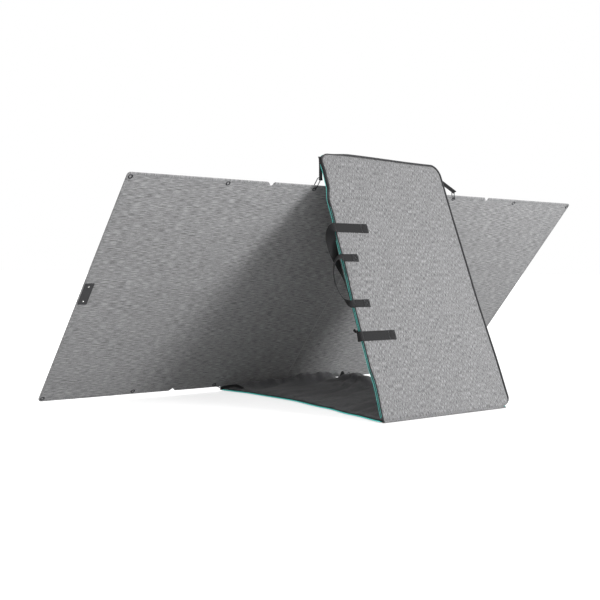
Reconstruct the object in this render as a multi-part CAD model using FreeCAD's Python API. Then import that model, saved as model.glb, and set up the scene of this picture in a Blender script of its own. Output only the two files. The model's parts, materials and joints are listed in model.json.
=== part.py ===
"""Folding solar panel that leans on its own soft zip case.

Four hinged panel sections stand on the open case: the ground flap lies on
the floor, the rear flap rises from the spine, and four snap hooks tie the
panel to the flap corners.  Millimetres, +Z up, +X along the panel, +Y from
the panel's foot to the spine.
"""
import math
import os

import FreeCAD
import Part

V = FreeCAD.Vector

# ---------------------------------------------------------------- panel
SECTION_PITCH = 591.25      # fold line to fold line
PANEL_HEIGHT = 1058.0
BACK_SHEET = 1.4            # grey woven back
CORE = 2.6                  # stiff board between the sheets
FRONT_SHEET = 1.2           # clear faced front
CELL_THICK = 0.6
CORNER_RADIUS = 12.0
NOTCH_HALF = 15.0           # notch at the ends of the two outer folds
NOTCH_DEPTH = 14.0
STACK_GAP = 0.6             # between folded sections
STRIP_SLACK = 0.5           # hinge strip longer than the folded height
FOOT_CLEAR = 2.0            # lower back edge above the ground flap's zip

CELL_W = 178.0
CELL_H = 164.0
CELL_GAP = 3.0
CELL_SIDE = 7.0             # least margin beside the cells
CELL_END = 29.0             # least margin above and below them

EYELET_BORE = 5.0           # radius
EYELET_WALL = 0.6
EYELET_FLANGE = 9.5
EYELET_RIM = 0.8
EYELET_EDGE = 15.0          # centre to the long edges
EYELET_INNER = 207.25       # from the outer fold towards the middle
EYELET_OUTER = 188.75       # from the outer fold towards the end
EYELET_END = 12.5           # from the panel's end

PLATE_W = 36.0              # closure plate on the end of section one
PLATE_H = 98.0
PLATE_THICK = 2.0
PLATE_EDGE = 2.5
PLATE_V = 537.0
RIVET_PITCH = 67.0
RIVET_RADIUS = 4.0
RIVET_HEAD = 0.8

BOX_FROM_FOLD = 148.25      # junction box on the back of section three
BOX_V = 552.0
BOX_W = 112.0
BOX_H = 74.0
BOX_DEPTH = 15.0
BOX_WALL = 2.5
LID_THICK = 2.5
SCREW_RADIUS = 2.5
SCREW_INSET = 8.0
GLAND_RADIUS = 5.5
GLAND_BORE = 3.2
GLAND_LENGTH = 16.0

# ----------------------------------------------------------------- case
CASE_X = 66.0               # middle of the case from the middle fold
CASE_SIDE = 36.375          # case beyond the folded panel on each side
CASE_RADIUS = 28.0
GROUND_EXTRA = 17.0         # ground flap longer than the panel is high
GROUND_FRONT = 18.0         # ground flap ahead of the panel's foot
FLAP_LESS = 23.0            # rear flap shorter than the panel is high
FLAP_ABOVE = 117.0          # rear flap above the panel's top edge
FLAP_STANDOFF = 46.0        # panel's top edge in front of the flap's zip
SPINE_LIFT = 0.4            # spine roll above the floor
SPINE_CLEAR = 0.4           # from the spine roll to the flap plates
WALL_SETBACK = 14.0         # from the spine axis to the ends of the side walls
COVER = 1.6
CASE_BOARD = 4.0
LINING = 2.4
WALL_HEIGHT = 6.0
WALL_THICK = 3.0
TEETH_HEIGHT = 2.0
TEETH_THICK = 1.6
PIPING = 2.5

# ---------------------------------------------------- zip slider and pull
SLIDER_START = 62.0         # along the rear flap from the spine axis
SLIDER_LENGTH = 13.0
SLIDER_CLEAR = 0.3
SLIDER_CHEEK = 1.2
PULL_LENGTH = 30.0
PULL_WIDTH = 5.0
PULL_THICK = 1.6
PULL_PIN = 0.9
PIN_CLEAR = 0.08

# -------------------------------------------------------------- handles
OUTER_STRAP = 36.0
OUTER_UPPER = 723.0
OUTER_LOWER = 307.0
OUTER_REACH = 157.0
OUTER_BULGE = 52.0
INNER_STRAP = 29.0
INNER_UPPER = 605.0
INNER_LOWER = 430.0
INNER_REACH = 70.0
INNER_BULGE = 62.0
WEBBING = 2.4
OUTER_LOOP = 13.0           # width of the free loop, folded on itself
INNER_LOOP = 11.0
HANDLE_CLEAR = 0.9          # from the flap's edge
LOOP_CLEAR = 0.3            # between the two loops

# ----------------------------------------------------------- snap hooks
HOOK_WIRE = 1.7             # radius
HOOK_BOW = 8.5              # centre line radius of each end
HOOK_LENGTH = 50.0
HOOK_SEAT = 0.4             # between the wire and the eyelet it pulls on
GATE_START = 5.0            # above the start of the straight leg
GATE_END = 5.6              # below its end
GATE_CLEAR = 0.2
TAB_WIDTH = 20.0
TAB_EYE = 5.0               # half size of the sewn eye round the wire
TAB_CLEAR = 0.4
TOP_TURN_LEFT = 0.0         # upper hooks, from straight up the panel
TOP_TURN_RIGHT = 36.0
TOP_ROOT_IN = 16.0          # tab roots in from the rear flap's sides
TOP_ROOT_LEFT = 35.0        # and down from its top edge
TOP_ROOT_RIGHT = 69.0
FOOT_TURN = 65.0            # lower hooks, from straight down the panel
FOOT_ROOT_LEFT = (76.0, 88.0)       # in from the ground flap's side, front
FOOT_ROOT_RIGHT = (30.0, 64.0)

# -------------------------------------------------------------- derived
SHEET = BACK_SHEET + CORE + FRONT_SHEET
FRONT = SHEET + max(CELL_THICK, EYELET_RIM)
HALF_HEM = SHEET / 2 + EYELET_RIM
BOW_RISE = HOOK_BOW - math.sqrt(HOOK_BOW ** 2 - HALF_HEM ** 2)
HOOK_FRONT = SHEET / 2 + HOOK_BOW + HOOK_WIRE    # front of a seated hook
OUTER_AXIS = (FRONT + HOOK_FRONT + STACK_GAP) / 2
RIVET_TOP = PLATE_THICK + RIVET_HEAD
MIDDLE_AXIS = 2 * OUTER_AXIS + (max(RIVET_TOP, 2 * EYELET_RIM) + STACK_GAP) / 2
OUTER_GAP = OUTER_AXIS + STRIP_SLACK
MIDDLE_GAP = MIDDLE_AXIS + STRIP_SLACK
CASE_THICK = COVER + CASE_BOARD + LINING
ZIP_TOP = CASE_THICK + WALL_HEIGHT + TEETH_HEIGHT
FOOT_HEIGHT = ZIP_TOP + FOOT_CLEAR
SPINE_Z = CASE_THICK
SPINE_RADIUS = SPINE_Z - SPINE_LIFT
GROUND_LENGTH = PANEL_HEIGHT + GROUND_EXTRA
FLAP_LENGTH = PANEL_HEIGHT - FLAP_LESS
SPINE_Y = GROUND_LENGTH - GROUND_FRONT
CASE_HALF = SECTION_PITCH / 2 + CASE_SIDE
EYELET_U = (SECTION_PITCH - EYELET_INNER, SECTION_PITCH + EYELET_OUTER,
            2 * SECTION_PITCH - EYELET_END)
BOX_U = BOX_FROM_FOLD - SECTION_PITCH
PLATE_START = SPINE_RADIUS + SPINE_CLEAR
CASE_LEFT = CASE_X + CASE_HALF
CASE_RIGHT = CASE_X - CASE_HALF

# The panel's top edge is where two arcs meet: the panel's about its foot,
# and that of the hook line on the rear flap about the spine.
HOOK_ALONG = FLAP_LENGTH - FLAP_ABOVE
HOOK_OUT = ZIP_TOP + FLAP_STANDOFF - SPINE_Z
HOOK_ARC = math.hypot(HOOK_ALONG, HOOK_OUT)
SPINE_SPAN = math.hypot(SPINE_Y, FOOT_HEIGHT - SPINE_Z)
SPINE_DIP = math.degrees(math.atan2(FOOT_HEIGHT - SPINE_Z, SPINE_Y))


def triangle_angle(near, other, far):
    """Angle, in degrees, between two sides of a triangle."""
    cosine = (near ** 2 + other ** 2 - far ** 2) / (2 * near * other)
    return math.degrees(math.acos(cosine))


TILT = triangle_angle(PANEL_HEIGHT, SPINE_SPAN, HOOK_ARC) - SPINE_DIP
HOOK_ANGLE = triangle_angle(HOOK_ARC, SPINE_SPAN, PANEL_HEIGHT) + SPINE_DIP
FLAP_ANGLE = HOOK_ANGLE + math.degrees(math.asin(HOOK_OUT / HOOK_ARC))
FLAP_TURN = 180.0 - FLAP_ANGLE

X_AXIS = V(1, 0, 0)
ORIGIN = V(0, 0, 0)

parts = {}
gate_pivots = {}


def box(x0, x1, y0, y1, z0, z1):
    return Part.makeBox(x1 - x0, y1 - y0, z1 - z0, V(x0, y0, z0))


def cylinder(radius, height, base, axis):
    return Part.makeCylinder(radius, height, base, axis)


def prism(points, z0, z1):
    """Close the points into a face at z0 and lift it to z1."""
    loop = [V(x, y, z0) for x, y in points]
    face = Part.Face(Part.makePolygon(loop + [loop[0]]))
    return face.extrude(V(0, 0, z1 - z0))


def round_edges(solid, corners, radius):
    """Round the upright edges that stand on the named corners."""
    chosen = []
    for edge in solid.Edges:
        ends = [vertex.Point for vertex in edge.Vertexes]
        if len(ends) != 2 or abs(ends[0].z - ends[1].z) < 1e-6:
            continue
        for x, y in corners:
            if abs(ends[0].x - x) < 1e-6 and abs(ends[0].y - y) < 1e-6:
                chosen.append(edge)
    return solid.makeFillet(radius, chosen)


def group(solids):
    return Part.makeCompound(solids)


def place_panel(shape):
    """Move a shape from the flat panel frame to the standing panel."""
    placed = shape.copy()
    placed.rotate(ORIGIN, X_AXIS, TILT)
    placed.translate(V(0, 0, FOOT_HEIGHT))
    return placed


def place_flap(shape):
    """Move a shape from the flap's flat frame to the leaning flap."""
    placed = shape.copy()
    placed.translate(V(0, 0, -SPINE_Z))
    placed.rotate(ORIGIN, X_AXIS, FLAP_TURN)
    placed.translate(V(0, SPINE_Y, SPINE_Z))
    return placed


def place_ground(shape):
    """Turn a shape from the flap's flat frame to the ground flap."""
    placed = shape.mirror(ORIGIN, V(0, 1, 0))
    placed.translate(V(0, SPINE_Y, 0))
    return placed


def panel_point(u, v, w):
    tilt = math.radians(TILT)
    y = v * math.cos(tilt) - w * math.sin(tilt)
    z = v * math.sin(tilt) + w * math.cos(tilt)
    return V(u, y, z + FOOT_HEIGHT)


def flap_point(x, s, q):
    turn = math.radians(FLAP_TURN)
    q = q - SPINE_Z
    y = s * math.cos(turn) - q * math.sin(turn)
    z = s * math.sin(turn) + q * math.cos(turn)
    return V(x, y + SPINE_Y, z + SPINE_Z)


# ------------------------------------------------------- panel sections
# number: lower u, upper u, and the side that has the notched fold
SECTIONS = {
    1: (SECTION_PITCH + OUTER_GAP, 2 * SECTION_PITCH, "low"),
    2: (MIDDLE_GAP, SECTION_PITCH - OUTER_GAP, "high"),
    3: (-SECTION_PITCH + OUTER_GAP, -MIDDLE_GAP, "low"),
    4: (-2 * SECTION_PITCH, -SECTION_PITCH - OUTER_GAP, "high"),
}


def section_outline(low, high, notched):
    """Corners of a section, with the notch halves at its outer fold."""
    cut = NOTCH_HALF - OUTER_GAP
    top = PANEL_HEIGHT
    if notched == "low":
        return [(low + cut, 0), (high, 0), (high, top), (low + cut, top),
                (low, top - NOTCH_DEPTH), (low, NOTCH_DEPTH)]
    return [(low, 0), (high - cut, 0), (high, NOTCH_DEPTH),
            (high, top - NOTCH_DEPTH), (high - cut, top), (low, top)]


def section_layer(number, w0, w1):
    low, high, notched = SECTIONS[number]
    solid = prism(section_outline(low, high, notched), w0, w1)
    ends = {1: high, 4: low}
    if number in ends:
        corners = [(ends[number], 0), (ends[number], PANEL_HEIGHT)]
        solid = round_edges(solid, corners, CORNER_RADIUS)
    for u, v in eyelet_places(number):
        radius = EYELET_BORE + EYELET_WALL
        hole = cylinder(radius, w1 - w0 + 2, V(u, v, w0 - 1), V(0, 0, 1))
        solid = solid.cut(hole)
    return solid


def eyelet_places(number):
    """Middle of each eyelet of a section, as u and v."""
    low, high, _ = SECTIONS[number]
    places = []
    for distance in EYELET_U:
        for u in (distance, -distance):
            if low < u < high:
                for v in (EYELET_EDGE, PANEL_HEIGHT - EYELET_EDGE):
                    places.append((u, v))
    return places


def eyelet(u, v):
    up = V(0, 0, 1)
    outer = EYELET_BORE + EYELET_WALL
    ring = cylinder(EYELET_FLANGE, EYELET_RIM, V(u, v, -EYELET_RIM), up)
    ring = ring.fuse(cylinder(EYELET_FLANGE, EYELET_RIM, V(u, v, SHEET), up))
    ring = ring.fuse(cylinder(outer, SHEET, V(u, v, 0), up))
    length = SHEET + 2 * EYELET_RIM + 2
    ring = ring.cut(cylinder(EYELET_BORE, length, V(u, v, -EYELET_RIM - 1), up))
    return ring.removeSplitter()


def fitting(room, size):
    """How many cells of a size fit in a row."""
    return int((room + CELL_GAP) // (size + CELL_GAP))


def section_cells(number):
    """Rows and columns of square cells on the front of a section."""
    low, high, _ = SECTIONS[number]
    columns = fitting(high - low - 2 * CELL_SIDE, CELL_W)
    rows = fitting(PANEL_HEIGHT - 2 * CELL_END, CELL_H)
    wide = columns * (CELL_W + CELL_GAP) - CELL_GAP
    tall = rows * (CELL_H + CELL_GAP) - CELL_GAP
    u0 = (low + high - wide) / 2
    v0 = (PANEL_HEIGHT - tall) / 2
    cells = []
    for column in range(columns):
        for row in range(rows):
            u = u0 + column * (CELL_W + CELL_GAP)
            v = v0 + row * (CELL_H + CELL_GAP)
            cells.append(box(u, u + CELL_W, v, v + CELL_H, SHEET, SHEET + CELL_THICK))
    return group(cells)


for number in SECTIONS:
    name = "section_%d" % number
    core_top = BACK_SHEET + CORE
    parts[name + "_back"] = place_panel(section_layer(number, 0, BACK_SHEET))
    parts[name + "_core"] = place_panel(section_layer(number, BACK_SHEET, core_top))
    parts[name + "_front"] = place_panel(section_layer(number, core_top, SHEET))
    parts[name + "_cells"] = place_panel(section_cells(number))
    rings = [eyelet(u, v) for u, v in eyelet_places(number)]
    parts[name + "_eyelets"] = place_panel(group(rings))

# soft hinge strips between the sections
for name, middle, half, trim in (
    ("fold_strip_1", SECTION_PITCH, OUTER_GAP, NOTCH_DEPTH),
    ("fold_strip_2", 0.0, MIDDLE_GAP, 0.0),
    ("fold_strip_3", -SECTION_PITCH, OUTER_GAP, NOTCH_DEPTH),
):
    strip = box(middle - half, middle + half, trim, PANEL_HEIGHT - trim, 0, BACK_SHEET)
    parts[name] = place_panel(strip)

# closure plate with two rivets on the outer end of section one
plate_right = 2 * SECTION_PITCH - PLATE_EDGE
plate_mid = plate_right - PLATE_W / 2
plate = box(plate_right - PLATE_W, plate_right, PLATE_V - PLATE_H / 2,
            PLATE_V + PLATE_H / 2, -PLATE_THICK, 0)
parts["closure_plate"] = place_panel(plate)
rivets = []
for side in (-1, 1):
    v = PLATE_V + side * RIVET_PITCH / 2
    base = V(plate_mid, v, -PLATE_THICK)
    rivets.append(cylinder(RIVET_RADIUS, RIVET_HEAD, base, V(0, 0, -1)))
parts["closure_rivets"] = place_panel(group(rivets))

# junction box on the back of section three
half_w = BOX_W / 2
half_h = BOX_H / 2
floor_w = -BOX_DEPTH + LID_THICK
shell = box(BOX_U - half_w, BOX_U + half_w, BOX_V - half_h, BOX_V + half_h, floor_w, 0)
hollow = box(BOX_U - half_w + BOX_WALL, BOX_U + half_w - BOX_WALL,
             BOX_V - half_h + BOX_WALL, BOX_V + half_h - BOX_WALL,
             floor_w, -BOX_WALL)
shell = shell.cut(hollow)
posts = []
for side_u in (-1, 1):
    for side_v in (-1, 1):
        u = BOX_U + side_u * (half_w - SCREW_INSET)
        v = BOX_V + side_v * (half_h - SCREW_INSET)
        posts.append((u, v))
        post = cylinder(SCREW_RADIUS + 1.5, -BOX_WALL - floor_w, V(u, v, floor_w), V(0, 0, 1))
        shell = shell.fuse(post)
gland_v = BOX_V - half_h
gland_w = floor_w / 2
passage = cylinder(GLAND_BORE, BOX_WALL + 2, V(BOX_U, gland_v - 1, gland_w), V(0, 1, 0))
parts["junction_box"] = place_panel(shell.cut(passage))
lid = box(BOX_U - half_w, BOX_U + half_w, BOX_V - half_h, BOX_V + half_h,
          -BOX_DEPTH, floor_w)
screws = []
for u, v in posts:
    hole = cylinder(SCREW_RADIUS, LID_THICK + 2, V(u, v, -BOX_DEPTH - 1), V(0, 0, 1))
    lid = lid.cut(hole)
    screws.append(cylinder(SCREW_RADIUS, LID_THICK, V(u, v, -BOX_DEPTH), V(0, 0, 1)))
parts["junction_lid"] = place_panel(lid)
parts["junction_screws"] = place_panel(group(screws))
gland = cylinder(GLAND_RADIUS, GLAND_LENGTH, V(BOX_U, gland_v, gland_w), V(0, -1, 0))
gland = gland.cut(cylinder(GLAND_BORE, GLAND_LENGTH + 2,
                           V(BOX_U, gland_v + 1, gland_w), V(0, -1, 0)))
parts["junction_gland"] = place_panel(gland)


# ------------------------------------------------------------- the case
def tray_plate(length, inset, start, z0, z1):
    """Plate of one case half, from near the spine to its far edge."""
    low = CASE_RIGHT + inset
    high = CASE_LEFT - inset
    far = length - inset
    points = [(low, start), (high, start), (high, far), (low, far)]
    return round_edges(prism(points, z0, z1), points[2:], CASE_RADIUS - inset)


def tray_rim(length, inset, width, start, z0, z1):
    """A rim along the two sides and the far edge, open at the spine."""
    outer = tray_plate(length, inset, start, z0, z1)
    low = CASE_RIGHT + inset + width
    high = CASE_LEFT - inset - width
    far = length - inset - width
    points = [(low, start - 1), (high, start - 1), (high, far), (low, far)]
    inner = prism(points, z0 - 1, z1 + 1)
    inner = round_edges(inner, points[2:], CASE_RADIUS - inset - width)
    return outer.cut(inner)


def case_half(prefix, length, place):
    """Cover, board, lining, side wall, zip teeth and piping of a half."""
    layers = (
        ("cover", PIPING, 0, COVER),
        ("board", PIPING, COVER, COVER + CASE_BOARD),
        ("lining", PIPING, COVER + CASE_BOARD, CASE_THICK),
    )
    for name, inset, z0, z1 in layers:
        parts[prefix + name] = place(tray_plate(length, inset, PLATE_START, z0, z1))
    wall_top = CASE_THICK + WALL_HEIGHT
    wall = tray_rim(length, PIPING, WALL_THICK, WALL_SETBACK, CASE_THICK, wall_top)
    parts[prefix + "wall"] = place(wall)
    inset = PIPING + (WALL_THICK - TEETH_THICK) / 2
    teeth = tray_rim(length, inset, TEETH_THICK, WALL_SETBACK, wall_top, ZIP_TOP)
    parts[prefix + "zip_teeth"] = place(teeth)
    middle = CASE_THICK / 2
    piping = tray_rim(length, 0, PIPING, PLATE_START, middle - PIPING, middle + PIPING)
    parts[prefix + "piping"] = place(piping)


case_half("ground_", GROUND_LENGTH, place_ground)
case_half("rear_", FLAP_LENGTH, place_flap)

spine_length = 2 * (CASE_HALF - PIPING)
parts["spine_roll"] = cylinder(SPINE_RADIUS, spine_length,
                               V(CASE_RIGHT + PIPING, SPINE_Y, SPINE_Z), X_AXIS)


# ----------------------------------------------------------- zip sliders
def slider(edge, side):
    """A slider that straddles the zip teeth on one side of the flap."""
    middle = edge - side * (PIPING + WALL_THICK / 2)
    reach = WALL_THICK / 2 + SLIDER_CLEAR
    low = CASE_THICK + WALL_HEIGHT - 1.5
    top = ZIP_TOP + SLIDER_CLEAR + SLIDER_CHEEK
    s0 = SLIDER_START
    s1 = SLIDER_START + SLIDER_LENGTH
    full = reach + SLIDER_CHEEK
    body = box(middle - full, middle + full, s0, s1, low, top)
    channel = box(middle - reach, middle + reach, s0 - 1, s1 + 1, low - 1,
                  top - SLIDER_CHEEK)
    body = body.cut(channel)
    ear_s = s0 + 1.0
    eye = PULL_PIN + PIN_CLEAR + 0.7
    pin_z = top + SLIDER_CLEAR + eye
    ear_top = pin_z + eye
    half = PULL_WIDTH / 2 + SLIDER_CLEAR
    for turn in (-1, 1):
        x0 = middle + turn * half
        x1 = x0 + turn * 1.0
        ear = box(min(x0, x1), max(x0, x1), ear_s, ear_s + 4.4, top, ear_top)
        body = body.fuse(ear)
    pin_s = ear_s + 2.2
    pin = cylinder(PULL_PIN, 2 * half + 2.0, V(middle - half - 1.0, pin_s, pin_z), X_AXIS)
    body = body.fuse(pin).removeSplitter()
    pull = cylinder(eye, PULL_WIDTH, V(middle - PULL_WIDTH / 2, pin_s, pin_z), X_AXIS)
    blade = box(middle - PULL_WIDTH / 2, middle + PULL_WIDTH / 2,
                pin_s - PULL_LENGTH, pin_s, pin_z - PULL_THICK / 2, pin_z + PULL_THICK / 2)
    pull = pull.fuse(blade)
    pull = pull.cut(cylinder(PULL_PIN + PIN_CLEAR, PULL_WIDTH + 2,
                             V(middle - PULL_WIDTH / 2 - 1, pin_s, pin_z), X_AXIS))
    return place_flap(body), place_flap(pull.removeSplitter()), flap_point(middle, pin_s, pin_z)


left_slider, left_pull, left_pin = slider(CASE_LEFT, 1)
right_slider, right_pull, right_pin = slider(CASE_RIGHT, -1)
parts["zip_slider_left"] = left_slider
parts["zip_pull_left"] = left_pull
parts["zip_slider_right"] = right_slider
parts["zip_pull_right"] = right_pull


# --------------------------------------------------------------- handles
def handle(prefix, strap, upper, lower, reach, bulge, width, lift):
    """Two sewn webbing ends on the flap's outer face and a free loop."""
    ends = []
    for s in (upper, lower):
        ends.append(box(CASE_LEFT - reach, CASE_LEFT, s - strap / 2, s + strap / 2,
                        -WEBBING, 0))
    parts[prefix + "_ends"] = place_flap(group(ends))
    x0 = CASE_LEFT + HANDLE_CLEAR
    q0 = -WEBBING - lift
    top = upper + strap / 2
    low = lower - strap / 2
    middle = (top + low) / 2
    outer = [V(x0, top, q0), V(x0 + bulge, middle, q0), V(x0, low, q0)]
    inner = [V(x0, low + strap, q0), V(x0 + bulge - width, middle, q0),
             V(x0, top - strap, q0)]
    edges = [Part.Arc(*outer).toShape(), Part.makeLine(outer[2], inner[0]),
             Part.Arc(*inner).toShape(), Part.makeLine(inner[2], outer[0])]
    face = Part.Face(Part.Wire(edges))
    parts[prefix + "_loop"] = place_flap(face.extrude(V(0, 0, WEBBING)))


handle("handle_outer", OUTER_STRAP, OUTER_UPPER, OUTER_LOWER, OUTER_REACH, OUTER_BULGE,
       OUTER_LOOP, 0)
handle("handle_inner", INNER_STRAP, INNER_UPPER, INNER_LOWER, INNER_REACH, INNER_BULGE,
       INNER_LOOP, WEBBING + LOOP_CLEAR)


# ------------------------------------------------------------ snap hooks
def hook_frame(start, along, across):
    """Placement with X across the ring, Y along it and Z its normal."""
    along = V(along).normalize()
    normal = V(across).cross(along).normalize()
    across = along.cross(normal).normalize()
    matrix = FreeCAD.Matrix(
        across.x, along.x, normal.x, start.x,
        across.y, along.y, normal.y, start.y,
        across.z, along.z, normal.z, start.z,
        0, 0, 0, 1)
    return matrix


def leg(x, y0, y1, radius=HOOK_WIRE):
    return cylinder(radius, y1 - y0, V(x, y0, 0), V(0, 1, 0))


def bow(y, turn, radius=HOOK_WIRE):
    """Half a ring of wire whose ends meet the two legs."""
    circle = Part.makeCircle(radius, V(HOOK_BOW, y, 0), V(0, 1, 0))
    face = Part.Face(Part.Wire(circle))
    return face.revolve(V(0, y, 0), V(0, 0, 1), turn)


def ring(radius):
    """The whole closed ring, as a clearance cutter for the tab's eye."""
    high = HOOK_LENGTH - HOOK_BOW - 2 * HOOK_WIRE
    solid = bow(HOOK_BOW, -180, radius).fuse(bow(high, 180, radius))
    for x in (-HOOK_BOW, HOOK_BOW):
        solid = solid.fuse(leg(x, HOOK_BOW, high, radius))
    return solid


def snap_hook(name, eye, along):
    """Ring body and sprung gate; the lower bow's wire is in the eyelet."""
    start = eye + along * (EYELET_BORE - HOOK_WIRE - HOOK_SEAT - BOW_RISE)
    low = HOOK_BOW
    high = HOOK_LENGTH - HOOK_BOW - 2 * HOOK_WIRE
    gate_low = low + GATE_START
    gate_high = high - GATE_END
    body = bow(low, -180).fuse(bow(high, 180))
    body = body.fuse(leg(-HOOK_BOW, low, high))
    body = body.fuse(leg(HOOK_BOW, low, gate_low))
    body = body.fuse(leg(HOOK_BOW, gate_high + GATE_CLEAR, high)).removeSplitter()
    pivot = gate_low + GATE_CLEAR + HOOK_WIRE
    gate = leg(HOOK_BOW, pivot, gate_high)
    gate = gate.fuse(Part.makeSphere(HOOK_WIRE, V(HOOK_BOW, pivot, 0))).removeSplitter()
    matrix = hook_frame(start, along, panel_normal * -1)
    body.transformShape(matrix)
    gate.transformShape(matrix)
    parts["hook_" + name] = body
    parts["gate_" + name] = gate
    gate_pivots[name] = (matrix.multVec(V(HOOK_BOW, pivot, 0)),
                         matrix.multVec(V(HOOK_BOW, pivot, 1)))
    return matrix


def webbing_tab(matrix, root, flat, keep_out):
    """Strap with a sewn eye round the ring's far bow, down to its root."""
    bow_mid = matrix.multVec(V(0, HOOK_LENGTH - 2 * HOOK_WIRE, 0))
    reach = (root - bow_mid).Length
    direction = (root - bow_mid).normalize()
    across = V(flat).cross(direction).normalize()
    normal = direction.cross(across).normalize()
    strap = box(-TAB_WIDTH / 2, TAB_WIDTH / 2, TAB_EYE, reach, -WEBBING / 2, WEBBING / 2)
    loop = box(-TAB_EYE, TAB_EYE, -TAB_EYE, TAB_EYE, -TAB_EYE, TAB_EYE)
    frame = FreeCAD.Matrix(
        across.x, direction.x, normal.x, bow_mid.x,
        across.y, direction.y, normal.y, bow_mid.y,
        across.z, direction.z, normal.z, bow_mid.z,
        0, 0, 0, 1)
    tab = strap.fuse(loop)
    tab.transformShape(frame)
    cutter = ring(HOOK_WIRE + TAB_CLEAR)
    cutter.transformShape(matrix)
    tab = tab.cut(cutter).cut(keep_out).cut(panel_block).removeSplitter()
    return min(tab.Solids, key=lambda solid: solid.CenterOfMass.distanceToPoint(bow_mid))


panel_normal = panel_point(0, 0, 1) - panel_point(0, 0, 0)
panel_up = panel_point(0, 1, 0) - panel_point(0, 0, 0)
rear_block = place_flap(box(CASE_RIGHT, CASE_LEFT, 0, FLAP_LENGTH, -1, CASE_THICK))
rear_block = rear_block.fuse(parts["rear_wall"]).fuse(parts["rear_zip_teeth"])
ground_block = place_ground(box(CASE_RIGHT, CASE_LEFT, 0, GROUND_LENGTH, -1, CASE_THICK))
ground_block = ground_block.fuse(parts["ground_wall"]).fuse(parts["ground_zip_teeth"])
panel_block = place_panel(box(-SECTION_PITCH, SECTION_PITCH, -TAB_CLEAR,
                              PANEL_HEIGHT + TAB_CLEAR, -EYELET_RIM - TAB_CLEAR,
                              FRONT + TAB_CLEAR))

tabs = []
for name, side, turn, down in (
    ("top_left", 1, TOP_TURN_LEFT, TOP_ROOT_LEFT),
    ("top_right", -1, TOP_TURN_RIGHT, TOP_ROOT_RIGHT),
):
    eye = panel_point(side * EYELET_U[0], PANEL_HEIGHT - EYELET_EDGE, SHEET / 2)
    angle = math.radians(turn)
    along = panel_up * math.cos(angle) + X_AXIS * -side * math.sin(angle)
    matrix = snap_hook(name, eye, along)
    goal = flap_point(CASE_X + side * (CASE_HALF - TOP_ROOT_IN), FLAP_LENGTH - down,
                      CASE_THICK + WEBBING / 2)
    tabs.append(webbing_tab(matrix, goal, panel_normal, rear_block))
parts["top_tabs"] = group(tabs)

tabs = []
for name, side, root in (("foot_left", 1, FOOT_ROOT_LEFT), ("foot_right", -1, FOOT_ROOT_RIGHT)):
    eye = panel_point(side * EYELET_U[0], EYELET_EDGE, SHEET / 2)
    angle = math.radians(FOOT_TURN)
    along = panel_up * -math.cos(angle) + X_AXIS * -side * math.sin(angle)
    matrix = snap_hook(name, eye, along)
    goal = V(CASE_X + side * (CASE_HALF - root[0]), root[1] - GROUND_FRONT,
             CASE_THICK + WEBBING / 2)
    tabs.append(webbing_tab(matrix, goal, V(0, 0, 1), ground_block))
parts["foot_tabs"] = group(tabs)

# centre the whole on the floor
whole = Part.makeCompound(list(parts.values()))
bounds = whole.optimalBoundingBox(False)
shift = V(-(bounds.XMin + bounds.XMax) / 2, -(bounds.YMin + bounds.YMax) / 2, -bounds.ZMin)

os.makedirs("parts", exist_ok=True)
for name, shape in parts.items():
    shape.translate(shift)
    shape.exportStep("parts/%s.step" % name)
print("nodes", len(parts), "shift", [round(value, 4) for value in shift])
print("size", [round(value, 2) for value in (bounds.XLength, bounds.YLength, bounds.ZLength)])
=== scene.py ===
# %% [markdown]
# # A folding solar panel leaning on its own soft case
# They lean on the open carrying case: one flap of the case lies on the
# floor, the other rises behind the panel and four snap hooks tie the two
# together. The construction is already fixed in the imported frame, so this
# script only gives every piece its real surface: woven cloth, webbing,
# zips, metal and glassy cells.
# %% Load the frame and keep its box
import json
import math

import bpy
import numpy as np
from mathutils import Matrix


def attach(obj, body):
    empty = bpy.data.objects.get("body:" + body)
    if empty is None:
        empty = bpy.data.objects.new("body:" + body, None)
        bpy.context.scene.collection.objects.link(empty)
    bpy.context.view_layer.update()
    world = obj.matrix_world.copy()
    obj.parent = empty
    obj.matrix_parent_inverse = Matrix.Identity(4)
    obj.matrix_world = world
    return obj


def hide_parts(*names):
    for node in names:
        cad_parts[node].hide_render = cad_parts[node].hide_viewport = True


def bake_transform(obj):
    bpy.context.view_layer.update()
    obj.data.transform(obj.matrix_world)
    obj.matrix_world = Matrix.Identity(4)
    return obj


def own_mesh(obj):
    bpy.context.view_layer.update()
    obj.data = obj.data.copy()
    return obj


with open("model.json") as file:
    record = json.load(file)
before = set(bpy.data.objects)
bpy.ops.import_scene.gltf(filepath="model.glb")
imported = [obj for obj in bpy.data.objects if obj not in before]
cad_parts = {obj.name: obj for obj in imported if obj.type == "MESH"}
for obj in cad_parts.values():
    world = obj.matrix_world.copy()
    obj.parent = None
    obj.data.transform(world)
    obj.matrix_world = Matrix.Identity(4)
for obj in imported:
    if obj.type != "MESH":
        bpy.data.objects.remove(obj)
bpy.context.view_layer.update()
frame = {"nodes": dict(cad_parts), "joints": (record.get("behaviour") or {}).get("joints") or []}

MM = 0.001
scene = bpy.context.scene

# %% [markdown]
# ## Where things are
# Three flat directions are all that the shapes below need: up the tilted
# panel, up the rear flap and along the floor.  The joints of the frame
# already hold them, so they are read from there and nothing is measured
# twice.
# %% Directions and origins of the panel and the two flaps
joint = {j["name"]: j for j in frame["joints"]}
X, Y, Z = np.eye(3)


def where(name):
    """A joint's point, in the row frame."""
    return np.array(joint[name]["pos_m"], float)


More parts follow.
